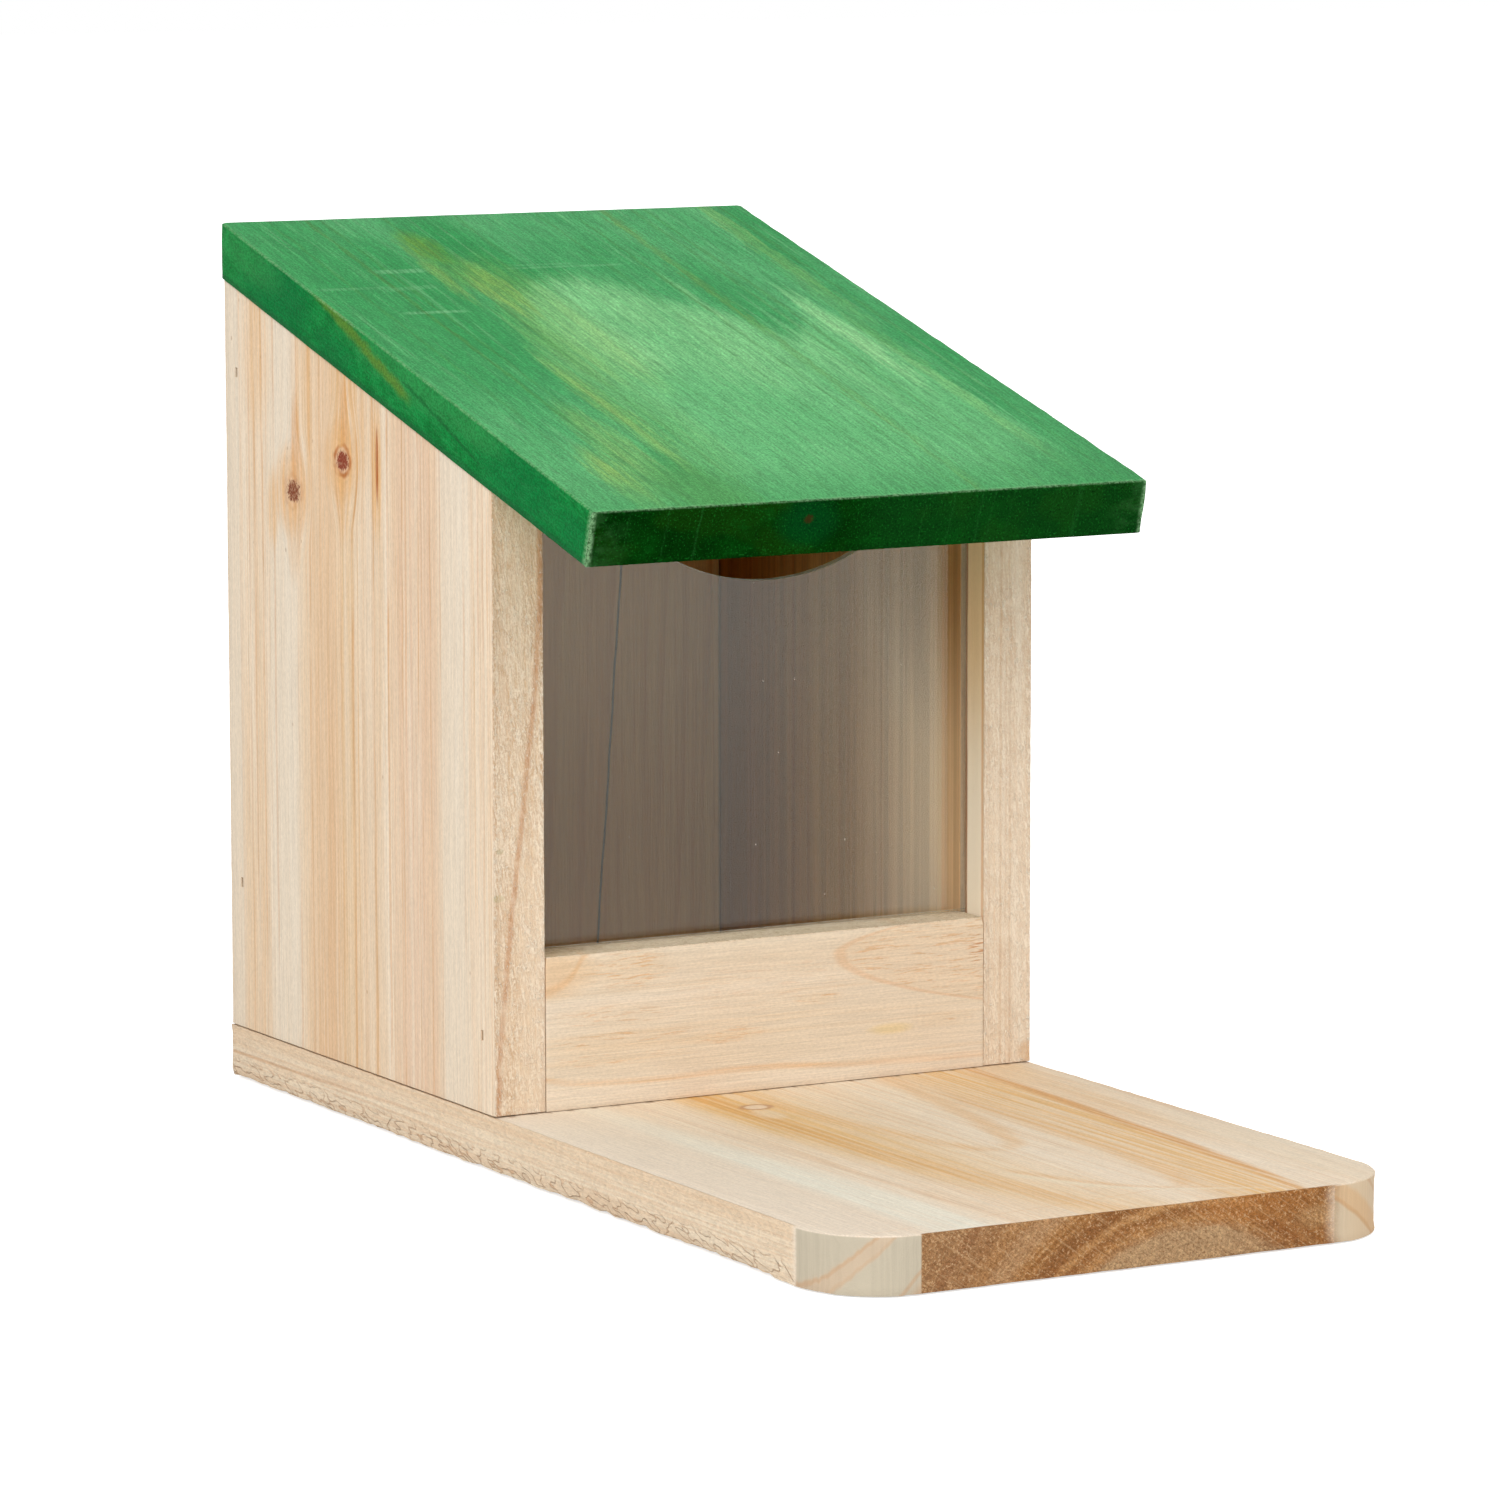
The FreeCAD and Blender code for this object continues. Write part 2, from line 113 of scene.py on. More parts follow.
class FeederSizes(bpy.types.PropertyGroup):
    arris: length_property("Arris", "Width of the worn edge round every plank", 0.2, 1.5)
    ripple: length_property("Ripple", "Depth of the planer's faint ripple on the faces", 0.1, 0.5)
    fray: length_property("Fray", "How far sawn edges are frayed", 0.45, 1.5)
    saw_marks: length_property("Saw marks", "Depth of the saw marks on rough front edges", 0.3, 1)
    chips: length_property("Chips", "Depth of the chips along the base's lower edge", 1.1, 2)
    pane_edge: length_property("Pane edge", "Width of the bevel round the pane", 0.08, 0.5)


class FeederColours(bpy.types.PropertyGroup):
    pale: colour_property("Pale wood", "Light bands of the bare wood", 234, 216, 192)
    peach: colour_property("Peach wood", "Usual colour of the bare wood", 228, 203, 172)
    tan: colour_property("Tan wood", "Darker bands of the bare wood", 222, 187, 146)
    line: colour_property("Grain line", "Thin lines of late wood", 203, 153, 103)
    stain_end: colour_property("Stained end", "End grain of the lid", 1, 40, 2)
    zinc: colour_property("Zinc", "Hinges, pins and screws", 190, 190, 184)


def sizes():
    """The lengths that a user may change."""
    return bpy.context.scene.feeder_sizes


def colours():
    """The colours that a user may change."""
    return bpy.context.scene.feeder_colours


# Patterns: numbers, colours and places that a material's nodes work out

class Pattern:
    """One output of a material's nodes. Arithmetic on it adds the nodes that do the sum."""

    def __init__(self, tree, socket):
        self.tree = tree
        self.socket = socket

    def __rsub__(self, other):
        return self * -1 + other


def sum_with(operation):
    """A method that adds the node for one kind of sum."""
    def method(self, *others):
        kind = "ShaderNodeVectorMath" if self.socket.type == "VECTOR" else "ShaderNodeMath"
        return add_node(self.tree, kind, dict(enumerate((self, *others))), operation=operation)
    return method


for names, operation in (
        ("__add__ __radd__", "ADD"), ("__sub__", "SUBTRACT"), ("__mul__ __rmul__", "MULTIPLY"),
        ("__truediv__", "DIVIDE"), ("__pow__", "POWER"), ("__abs__", "ABSOLUTE"), ("most", "MAXIMUM"),
        ("floor", "FLOOR"), ("part", "FRACT"), ("root", "SQRT")):
    for name in names.split():
        setattr(Pattern, name, sum_with(operation))


def add_node(tree, kind, inputs=None, output=0, **settings):
    """Add a node, set its options, fill or link its inputs and give one of its outputs."""
    item = tree.nodes.new(kind)
    for name, setting in settings.items():
        setattr(item, name, setting)
    for socket, value in (inputs or {}).items():
        if isinstance(value, Pattern):
            tree.links.new(value.socket, item.inputs[socket])
        else:
            item.inputs[socket].default_value = value
    return Pattern(tree, item.outputs[output]) if item.outputs else None


def tree_of(*values):
    """The nodes that the first pattern among some values belongs to."""
    return next(value.tree for value in values if isinstance(value, Pattern))


def split(place):
    """The x, y and z of a place."""
    parts = add_node(place.tree, "ShaderNodeSeparateXYZ", {0: place})
    return [Pattern(place.tree, output) for output in parts.socket.node.outputs]


def join(*parts):
    """The place with this x, y and z."""
    return add_node(tree_of(*parts), "ShaderNodeCombineXYZ", dict(enumerate(parts)))


def turned(place, *angles):
    """The place after a turn about the origin."""
    return add_node(place.tree, "ShaderNodeMapping", {"Vector": place, "Rotation": angles})


def grained(place, grain, seed, step_y, step_z):
    """The place in parts of a grain size per axis, moved by a seed."""
    return add_node(place.tree, "ShaderNodeVectorMath", operation="MULTIPLY_ADD", inputs={
        0: place, 1: [1 / size for size in grain], 2: (seed, seed * step_y, seed * step_z)})


def noise(place, grain, detail=2, rough=0.5, seed=0):
    """Cloudy pattern from 0 to 1, whose patches have the size that grain gives per axis."""
    return add_node(place.tree, "ShaderNodeTexNoise", {
        "Vector": grained(place, grain, seed, 1.7, 2.3), "Scale": 1, "Detail": detail, "Roughness": rough})


def drift(place, grain, reach, *character):
    """Cloudy pattern that goes up and down by half of its reach."""
    return (noise(place, grain, *character) - 0.5) * reach


def dots(place, grain, seed=0):
    """Distance to the nearest of many scattered points, in parts of their spacing."""
    return add_node(place.tree, "ShaderNodeTexVoronoi", {
        "Vector": grained(place, grain, seed, 1.3, 2.1), "Scale": 1}, output="Distance")


def ease(value, low, high, start=0, end=1):
    """Smooth step from start to end while value goes from low to high."""
    return add_node(value.tree, "ShaderNodeMapRange", {
        "Value": value, "From Min": low, "From Max": high, "To Min": start, "To Max": end},
        interpolation_type="SMOOTHSTEP")


def band(value, centre, half, soft):
    """1 within half of the centre, falling to 0 over soft."""
    return ease(abs(value - centre), half, half + soft, 1, 0)


def span(value, low, high, soft):
    """1 between low and high, falling to 0 over soft outside them."""
    return ease(value, low - soft, low) * ease(value, high, high + soft, 1, 0)


def distance(a, b):
    """Distance from an axis, so that equal values draw growth rings."""
    return (a * a + b * b).root()


def spot(a, b, centre, radii, soft=0.5):
    """1 inside an ellipse, falling to 0 at its rim."""
    across = (a - centre[0]) / radii[0]
    along = (b - centre[1]) / radii[1]
    return ease(across * across + along * along, 1 - soft, 1 + soft, 1, 0)


def highest(patterns):
    """The highest of several patterns at each place."""
    patterns = iter(patterns)
    top = next(patterns)
    for pattern in patterns:
        top = top.most(pattern)
    return top


def spots(a, b, *places):
    """The highest of several soft ellipses: (centre a, centre b, radius a, radius b, strength)."""
    return highest(spot(a, b, place[:2], place[2:4], 1) * place[4] for place in places)


def hairlines(value, *places):
    """Thin lines: (centre, half width, strength)."""
    return highest(ease(abs(value - centre), half * 0.2, half * 1.6, strength, 0)
                   for centre, half, strength in places)


def follow(value, *points):
    """Height at this value of a smooth line through points: (value, height)."""
    places, heights = zip(*points)
    low, high = min(heights), max(heights)
    height = add_node(value.tree, "ShaderNodeFloatCurve", {"Value": (value - places[0]) / (places[-1] - places[0])})
    mapping = height.socket.node.mapping
    curve = mapping.curves[0]
    for _ in places[2:]:
        curve.points.new(0.5, 0.5)
    for point, place, level in zip(curve.points, places, heights):
        point.location = (place - places[0]) / (places[-1] - places[0]), (level - low) / (high - low)
    mapping.update()
    return height * (high - low) + low


def mix(share, first, second, blend="MIX"):
    """Blend two colours."""
    first, second = (tone if isinstance(tone, Pattern) else (*tone, 1) for tone in (first, second))
    return add_node(tree_of(share, first, second), "ShaderNodeMix", {0: share, 6: first, 7: second},
                    output=2, data_type="RGBA", blend_type=blend)


def coat(shade, *layers):
    """Lay tones over a colour: (share, tone from 0 to 255), each where its share is high."""
    for share, tone in layers:
        shade = mix(share, shade, display(*tone))
    return shade


def dimmed(colour, *factors):
    """Multiply a colour by some numbers, one after another."""
    for factor in factors:
        colour = mix(1, colour, join(factor, factor, factor), "MULTIPLY")
    return colour


class Paint:
    """One material and its nodes."""

    def __init__(self, name):
        self.material = bpy.data.materials.new(name)
        self.material.use_nodes = True
        self.tree = self.material.node_tree
        self.tree.nodes.clear()
        place = add_node(self.tree, "ShaderNodeTexCoord", output="Object")
        self.place = add_node(self.tree, "ShaderNodeVectorMath", {0: place, "Scale": 1 / MM}, operation="SCALE")

    def cover(self, surface):
        """Give the material its surface."""
        add_node(self.tree, "ShaderNodeOutputMaterial", {"Surface": surface})
        return self.material

    def finish(self, colour, roughness, height, **shader):
        """Give the surface its colour, roughness and relief in millimetres."""
        relief = add_node(self.tree, "ShaderNodeBump", {"Height": height, "Distance": MM, "Strength": 1})
        inputs = {name.replace("_", " "): value for name, value in shader.items()}
        return self.cover(add_node(self.tree, "ShaderNodeBsdfPrincipled", {
            "Base Color": colour, "Roughness": roughness, "Normal": relief, **inputs}))


class Wood:
    """Growth rings, streaks and fibres of one plank, whose grain runs along one axis."""

    def __init__(self, across, through, along, pith, spacing, seed, wobble=1, drop=0):
        place = join(across, through, along)
        self.ragged = noise(place, (0.9, 0.9, 9), 2, 0.6, seed + 5.3) - 0.5
        offset = drift(place, (45, 45, 110), 5 * wobble, 2, 0.5, seed) + drift(
            place, (5, 5, 30), 1.4 * wobble, 2, 0.5, seed + 3.1) + self.ragged * 0.7
        radius = distance(across - pith[0], through - pith[1] + along * drop) + offset
        uneven = noise(join(radius, 0, seed), (4 * spacing,) * 3, 1)
        turns = radius / spacing + uneven * 2
        number, phase = turns.floor(), turns.part()
        chance = add_node(number.tree, "ShaderNodeTexWhiteNoise", {"W": number + seed}, noise_dimensions="1D")
        fade = noise(join(number * 3.7, 0, along / 60), (1, 1, 1), 1)
        self.late = (ease(phase, 0.45, 0.93) * ease(phase, 0.94, 1, 1, 0) * ease(chance, 0.1, 1, 0.1, 1)
                     * ease(fade, 0.3, 0.62))
        self.fibre = noise(place, (0.26, 0.26, 13), 3, 0.62, seed + 7.7)
        self.fuzz = noise(place, (0.33, 0.33, 0.8), 2, 0.6, seed + 9.1)
        self.streak = noise(place, (1.1, 1.1, 90), 3, 0.62, seed + 11.3)
        self.hair = noise(place, (0.42, 0.42, 55), 2, 0.7, seed + 13.9)
        self.broad = noise(place, (9, 9, 230), 2, 0.5, seed + 17.9)
        self.height = self.fibre * 0.05 + self.fuzz * 0.04 + self.late * 0.03

    def colour(self, line_strength):
        """Bare planed wood."""
        tones = colours()
        shade = mix(ease(self.broad, 0.38, 0.62), tones.pale, tones.peach)
        shade = mix(ease(self.streak, 0.5, 0.72, 0, 0.55), shade, tones.tan)
        shade = coat(shade, (ease(self.hair, 0.55, 0.68, 0, 0.5), (216, 170, 120)),
                     (ease(self.hair, 0.3, 0.42, 0.45, 0), (236, 222, 204)))
        return mix(self.late * line_strength, shade, tones.line)

    def streaked(self, share, least=0.35):
        """Break a broad band up into streaks along the grain."""
        return share * ease(self.streak, 0.36, 0.62, least, 1)

    def planed(self, shade):
        """Add the fine lights and darks of fibres to a finished colour."""
        return dimmed(shade, ease(self.fibre, 0.25, 0.75, 0.9, 1.07), ease(self.fuzz, 0.25, 0.75, 0.92, 1.055))


# Meshes, shaped in edit mode

def start(piece_name, low, high):
    """Add a block that fills the space between two corners, in millimetres."""
    bpy.ops.object.select_all(action="DESELECT")
    low, high = Vector(low) * MM, Vector(high) * MM
    bpy.ops.mesh.primitive_cube_add(size=1, location=(low + high) / 2, scale=high - low)
    piece = bpy.context.object
    piece.name = piece_name
    piece.data.name = piece_name
    bpy.ops.object.transform_apply(location=True, rotation=True, scale=True)
    return piece


def start_rod(piece_name, centre, radius, length, vertices):
    """Add a cylinder that runs from front to rear through a centre, in millimetres."""
    bpy.ops.object.select_all(action="DESELECT")
    bpy.ops.mesh.primitive_cylinder_add(vertices=vertices, radius=radius * MM, depth=length * MM,
                                        location=Vector(centre) * MM, rotation=(radians(-90), 0, 0))
    piece = bpy.context.object
    piece.name = piece_name
    bpy.ops.object.transform_apply(location=True, rotation=True, scale=True)
    return piece


def hold(*pieces):
    """Select these pieces and nothing else, with the first one active."""
    bpy.ops.object.select_all(action="DESELECT")
    for piece in pieces:
        piece.select_set(True)
    bpy.context.view_layer.objects.active = pieces[0]


def edit(piece):
    """Go into edit mode on one piece."""
    hold(piece)
    bpy.ops.object.mode_set(mode="EDIT")


def leave():
    """Go back to object mode."""
    bpy.ops.object.mode_set(mode="OBJECT")


def choose(piece, kind, wanted):
    """Select the mesh's vertices, edges or faces that wanted picks, and nothing else."""
    bpy.ops.mesh.select_mode(type=kind)
    bpy.ops.mesh.select_all(action="DESELECT")
    mesh = bmesh.from_edit_mesh(piece.data)
    for item in {"VERT": mesh.verts, "EDGE": mesh.edges, "FACE": mesh.faces}[kind]:
        if wanted(item):
            item.select_set(True)
    mesh.select_flush_mode()
    bmesh.update_edit_mesh(piece.data)


def pull(piece, wanted, shift):
    """Move the vertices that wanted picks, in millimetres."""
    choose(piece, "VERT", lambda vertex: wanted(vertex.co / MM))
    bpy.ops.transform.translate(value=Vector(shift) * MM)


def slice_up(piece, axis, parts):
    """Cut the block into equal slices along an axis."""
    def runs_along(edge):
        run = (edge.verts[1].co - edge.verts[0].co).normalized()
        return abs(run[axis]) > 0.9

    choose(piece, "EDGE", runs_along)
    bpy.ops.mesh.subdivide(number_cuts=parts - 1)


def apply_modifier(piece, kind, **settings):
    """Add a modifier with its settings and apply it at once."""
    hold(piece)
    modifier = piece.modifiers.new(kind.title(), kind)
    for name, setting in settings.items():
        setattr(modifier, name, setting)
    bpy.ops.object.modifier_apply(modifier=modifier.name)


def soften(piece, width):
    """Wear every sharp edge down."""
    apply_modifier(piece, "BEVEL", width=width, segments=2, limit_method="ANGLE", angle_limit=radians(30),
                   use_clamp_overlap=True)


def group_where(piece, name, weight):
    """Make a vertex group whose weight comes from a vertex's place, in millimetres, and its normal."""
    group = piece.vertex_groups.new(name=name)
    for vertex in piece.data.vertices:
        share = weight(vertex.co / MM, vertex.normal)
        if share > 0:
            group.add([vertex.index], min(share, 1), "REPLACE")
    return name


def cloud(name, size, depth=2, contrast=1):
    """A cloudy texture whose patches have a given size, in millimetres."""
    texture = bpy.data.textures.get(name) or bpy.data.textures.new(name, "CLOUDS")
    texture.noise_scale = size * MM
    texture.noise_depth = depth
    texture.contrast = contrast
    texture.intensity = 1 - 0.28 * contrast
    return texture


def wear(piece, texture, depth, group=""):
    """Press the surface in by up to depth where the texture is dark."""
    apply_modifier(piece, "DISPLACE", texture=texture, texture_coords="LOCAL", direction="NORMAL", mid_level=1,
                   strength=depth, vertex_group=group)


def cut_away(piece, cutters):
    """Take the shapes of the cutters, which stay clear of one another, out of the piece."""
    hold(*cutters)
    if len(cutters) > 1:
        bpy.ops.object.join()
    apply_modifier(piece, "BOOLEAN", operation="DIFFERENCE", object=cutters[0], solver="EXACT")
    bpy.data.objects.remove(cutters[0], do_unlink=True)


def complete(piece, body, node, *materials, smooth=30):
    """Shade the piece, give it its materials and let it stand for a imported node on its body."""
    hold(piece)
    bpy.ops.object.shade_smooth_by_angle(angle=radians(smooth))
    piece.vertex_groups.clear()
    piece.data.materials.clear()
    for material in materials:
        piece.data.materials.append(material)
    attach(piece, body)
    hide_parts(node)


# Finishes of the bare planks

def part_round(a, b, centre):
    """The place across the grain, bent so that lines part round a knot."""
    return a - (a - centre[0]) * spot(a, b, centre, (7, 11), 1) * 0.65


def knot(wood, a, b, centre, size, shade, heart_tone, seed, ring=0.9, checked=0.3):
    """A tight dark knot in a pale ring, with a resinous halo drawn out along the grain."""
    middle, level = centre
    across, along = a - middle, b - level
    smooth = (across * across * 0.62 + along * along * 1.1).root()
    near = smooth + drift(join(a, b, seed), (3, 3, 1), size * 0.9, 1)
    ragged = drift(join(a, b, seed), (0.5, 1, 1), size * 2.2, 3, 0.7)
    halo = spot(a, b, (middle + size * 0.3, level), (size * 3.4, size * 3.8), 1)
    tail = spot(a, b, (middle - size * 0.4, level + size * 4.2), (size * 0.8, size * 4.6), 1)
    foot = spot(a, b, (middle, level - size * 4), (size * 1.3, size * 4), 1)
    broken = ease(noise(join(a, b, seed + 7), (2.6, 2.6, 1), 1), 0.3, 0.6, 0.25, 1)
    heart = ease(smooth + ragged, size * 0.85, size * 1.15, 0.95, 0)
    checks = ease(noise(join(a, b, seed + 4), (0.3, 0.7, 1), 2, 0.6), 0.52, 0.6)
    return coat(
        shade,
        (wood.streaked(halo, 0.6) * 0.8, (222, 168, 104)),
        (wood.streaked(foot, 0.4) * 0.5, (220, 168, 108)),
        (wood.streaked(tail, 0.5) * 0.85, (206, 144, 76)),
        (ease(near, size * 1.2, size * 1.5, ring * 0.65, 0), (228, 198, 166)),
        (band(near, size * 1.5, size * 0.05, size * 0.45) * broken * ring, (178, 106, 50)),
        (ease(smooth + ragged * 0.4, size * 0.9, size * 1.4, ring * 0.6, 0), (190, 130, 92)),
        (heart, heart_tone),
        (heart * checks * checked, (206, 170, 134)))


def rough_sawn(place):
    """Torn fibres along z of a sawn edge, from 0 to 1, and the pale slivers lifted from it."""
    slanted = turned(place, 0, radians(9), 0)
    fibres = noise(slanted, (0.36, 0.36, 2.4), 3, 0.7, 4.2)
    torn = noise(slanted, (0.4, 0.4, 0.55), 2, 0.7, 9.1)
    slivers = ease(noise(slanted, (0.3, 0.5, 0.8), 2, 0.6, 12.4), 0.6, 0.68)
    return ease(fibres * 0.55 + torn * 0.45, 0.4, 0.6), slivers


def inner_painted_shade(shade, near, deep):
    """Painted shade on the unplaned inner faces: darken them to a warmer brown, most of all deep inside."""
    shade = mix(near, shade, mix(1, shade, display(215, 179, 121), "MULTIPLY"))
    return mix(deep, shade, mix(1, shade, display(203, 162, 89), "MULTIPLY"))


def side_inside(wood, shade, sign, x, y, z):
    """The inner face: painted light and painted shade behind the pane and in front of it, grain stripes, a soft
    groove beside the kerf and painted shade in the rear corner.
    """
    inner = ease(x * sign, SIDE_INNER + 0.1, SIDE_INNER + 0.5, 1, 0)
    behind = inner * ease(y, PANE_HIGH.y - 1, PANE_HIGH.y)
    shade = coat(
        shade,
        # Painted light on the wall behind the pane: lightest near the pane and low down, with a pale painted patch
        # high up near the pane
        (behind * ease(y, 30, 60, 1, 0) * ease(z, 66, 105, 0.95, 0.1), (253, 222, 180)),
        (behind * spot(y, z, (26.5, 100), (4, 16), 0.8) * 0.5, (253, 226, 188)),
        (behind * ease(y, 23, 23.8, 0.5, 0), (250, 190, 126)))
    # Painted shade, deeper in and higher up under the lid
    shade = inner_painted_shade(shade, behind * ease(y, 28, 66).most(ease(z, 70, 110, 0, 0.8)), behind * ease(y, 66, 108))
    stripes = noise(join(y, 0, z), (1.8, 1, 170), 2, 0.6, 5)
    shade = mix(behind, shade, dimmed(shade, ease(stripes, 0.36, 0.64, 0.85, 1.1)))
    opening = inner * ease(y, 13, 14, 1, 0)
    groove = span(y + wood.ragged * 0.6, PANE_LOW.y - 0.6, PANE_LOW.y, 0.4)
    return coat(
        shade,
        # Painted light in front of the pane: paler low down, and warmer high up against the lid's shade and its green
        # bounce light
        (opening * ease(z, 70, 100, 0.85, 0), (252, 238, 216)),
        (opening * ease(z, 60, 100) * 0.6, (250, 208, 152)),
        (inner * groove * 0.8, (142, 88, 46)),
        (inner * band(y, SIDE_LOW.y + 0.8, 0.2, 0.5) * 0.6, (206, 146, 88)),
        # Painted shade in the corner against the rear plank
        (inner * ease(y, REAR_LOW.y - 0.6, REAR_LOW.y - 0.1) * 0.5, (70, 40, 22)))


def edge_features(shade, sign, x, z):
    """Streaks on the rough front edges: a slanting one on the left, upright ones on the right."""
    if sign < 0:
        path = x + ease(z, 5, 120, 1, 0) * 9.6 + 49.3 + drift(join(z, 0, 0), (14, 1, 1), 1.2, 2)
        smear = spot(x, z, (-58.6, 53), (1.4, 0.7)).most(spot(x, z, (-58.2, 62), (0.8, 0.5)))
        return coat(
            shade,
            (ease(x, -56, -53) * ease(z, 45, 85, 0.5, 0), (242, 226, 204)),
            (ease(path, -0.5, 3, 0.2, 0), (232, 214, 190)),
            (ease(abs(path), 0.2, 0.9, 0.6, 0), (190, 130, 84)),
            (smear * 0.3, (150, 158, 96)))
    wander = x + noise(join(z, 0, 3), (30, 1, 1)) * 0.6
    return coat(
        shade,
        (ease(z, 50, 100, 0.5, 0.35), (246, 230, 208)),
        (hairlines(wander, (53, 0.3, 0.35), (54.2, 0.22, 0.2), (55.2, 0.3, 0.3), (50.4, 0.2, 0.2)), (190, 146, 104)),
        (spot(x, z, (58.8, 13), (2, 2), 0.8) * 0.5, (210, 156, 96)))


def side_finish(name, sign, seed, features):
    """Bare side plank: planed faces, and rough sawn front and rear edges."""
    paint = Paint(name)
    x, y, z = split(paint.place)
    sample = y
    if sign < 0:
        for centre in LEFT_KNOTS:
            sample = part_round(sample, z, centre)
    wood = Wood(sample, x, z, (-150, sign * 90), 4.6, seed, wobble=0.45)
    shade = wood.planed(features(wood, wood.colour(0.34), y, z, sample))
    shade = side_inside(wood, shade, sign, x, y, z)

    edge = ease(y, SIDE_LOW.y + 0.2, SIDE_LOW.y + 0.7, 1, 0).most(ease(y, SIDE_HIGH.y - 0.7, SIDE_HIGH.y - 0.2))
    fibres, slivers = rough_sawn(paint.place)
    warm = noise(paint.place, (1.3, 3, 22), 3, 0.65, 3)
    rough_tone = coat(
        mix(fibres, display(200, 162, 124), display(242, 224, 200)),
        # Painted shade: a warmer, darker top under the lid, tinted against the green light the lid bounces onto the
        # edge
        (ease(z, 90, 130) * 0.3, (224, 176, 130)),
        (ease(warm, 0.48, 0.66, 0, 0.45), (204, 160, 116)),
        (ease(warm, 0.34, 0.46, 0.4, 0), (236, 220, 198)))
    rough_tone = edge_features(rough_tone, sign, x, z)
    rough_tone = coat(rough_tone, (slivers * 0.7, (252, 240, 220)))
    height = wood.height + edge * (fibres * 0.1 + slivers * 0.12)
    return paint.finish(mix(edge, shade, rough_tone), ease(edge, 0, 1, 0.62, 0.9), height,
                        Specular_IOR_Level=WOOD_SHINE)


def left_features(wood, shade, y, z, sample):
    """Bands, lines, two knots and a resin streak on the left plank's outer face."""
    sway = sample + drift(join(z, 0, 1), (60, 1, 1), 1.6, 2) + wood.ragged * 0.5
    low = ease(z, 60, 120, 1, 0.5)
    pale = band(sway, 23.5, 3.5, 5).most(band(sway, 98, 4, 6)).most(band(sway, 121.5, 2, 2.5))
    veins = hairlines(
        sway, (114, 0.35, 0.4), (111.5, 0.4, 0.45), (107.8, 0.4, 0.5), (102.3, 0.4, 0.45), (91.6, 0.4, 0.4),
        (86, 0.5, 0.4), (72.2, 0.4, 0.45), (66.9, 0.45, 0.7), (57.6, 0.35, 0.6), (51.3, 0.4, 0.6), (45, 0.3, 0.5),
        (43.6, 0.25, 0.4), (38.3, 0.35, 0.5), (36.8, 0.2, 0.35), (33.2, 0.25, 0.4), (28.9, 0.3, 0.35),
        (19, 0.3, 0.35), (13, 0.4, 0.35), (11, 0.25, 0.35), (8.4, 0.3, 0.3))
    fade = ease(noise(join(y * 0.6, 0, z), (1.5, 1, 30), 2), 0.34, 0.58, 0.15, 1)
    glow = spots(
        y, z, (55.9, 130.5, 1.7, 13, 0.95), (61, 138, 4, 10, 0.35), (103, 119, 2.4, 7, 0.6),
        (110, 150, 6, 14, 0.35), (70, 146, 5.5, 16, 0.7), (91, 146, 3, 14, 0.4), (86, 146, 1.2, 20, 0.5))
    shade = coat(
        shade,
        (wood.streaked(band(sway, 79, 3, 7) * low) * 0.85, (219, 181, 141)),
        (wood.streaked(band(sway, 69.5, 2, 3.5)) * 0.6, (220, 186, 142)),
        (wood.streaked(band(sway, 58, 3, 4)) * 0.45, (219, 190, 156)),
        (wood.streaked(band(sway, 39, 6, 8)) * 0.6, (221, 188, 160)),
        (pale * 0.7, (229, 216, 196)),
        (veins * fade * ease(z, 70, 115, 0.75, 1.15), (204, 148, 92)),
        (wood.streaked(glow), (224, 174, 112)))
    shade = knot(wood, y, z, LEFT_KNOTS[0], 2.1, shade, (114, 44, 8), 2, 0.3, 0.55)
    shade = knot(wood, y, z, LEFT_KNOTS[1], 1.9, shade, (126, 36, 2), 5)
    resin = spot(y, z, (55.7, 131.5), (0.6, 7), 0.8)
    fleck = dots(join(y, 0, z), (7, 9, 12), 3)
    return coat(
        shade,
        (resin * ease(wood.ragged, -0.2, 0.1, 0.6, 1), (168, 92, 30)),
        (ease(fleck, 0.02, 0.05, 0.5, 0), (166, 122, 86)))


def right_features(wood, shade, y, z, sample):
    """Tan and cream bands and thin lines on the right plank."""
    veins = hairlines(y + wood.ragged * 0.5, (118, 0.4, 0.5), (101, 0.35, 0.5), (83, 0.5, 0.6), (64, 0.3, 0.5),
                      (47, 0.4, 0.5), (26, 0.3, 0.4))
    return coat(
        shade,
        (wood.streaked(band(y, 92, 10, 10)) * 0.6, (221, 188, 150)),
        (band(y, 34, 6, 9) * 0.4, (230, 214, 194)),
        (veins, (206, 154, 104)))


def rear_finish():
    """Bare rear plank, flat sawn, with a slanting dark crack and painted shade on its inner face, deepest in the
    corners.
    """
    paint = Paint("Rear plank wood")
    x, y, z = split(paint.place)
    wood = Wood(x, y, z, (-6, REAR_HIGH.y + 24), 3.8, 21, wobble=0.9, drop=0.05)
    shade = knot(wood, x, z, (-27, 62), 1.8, wood.planed(wood.colour(0.6)), (112, 62, 44), 1)
    inner = ease(y, REAR_LOW.y + 0.1, REAR_LOW.y + 0.6, 1, 0)
    crack = x - 18 - (z - 4) * 0.075 + drift(join(z, 0, 0), (22, 1, 1), 1)
    corner = ease(abs(x), SIDE_INNER - 0.6, SIDE_INNER - 0.1) * inner
    shade = coat(
        # Painted shade over the inner face
        inner_painted_shade(shade, inner * 0.95, inner * 0.3),
        (ease(abs(crack), 0.15, 0.4, 0.95, 0) * inner, (34, 26, 26)),
        # Painted shade in the inner corners by the side planks
        (corner * 0.5, (70, 40, 22)))
    return paint.finish(shade, 0.62, wood.height, Specular_IOR_Level=WOOD_SHINE)


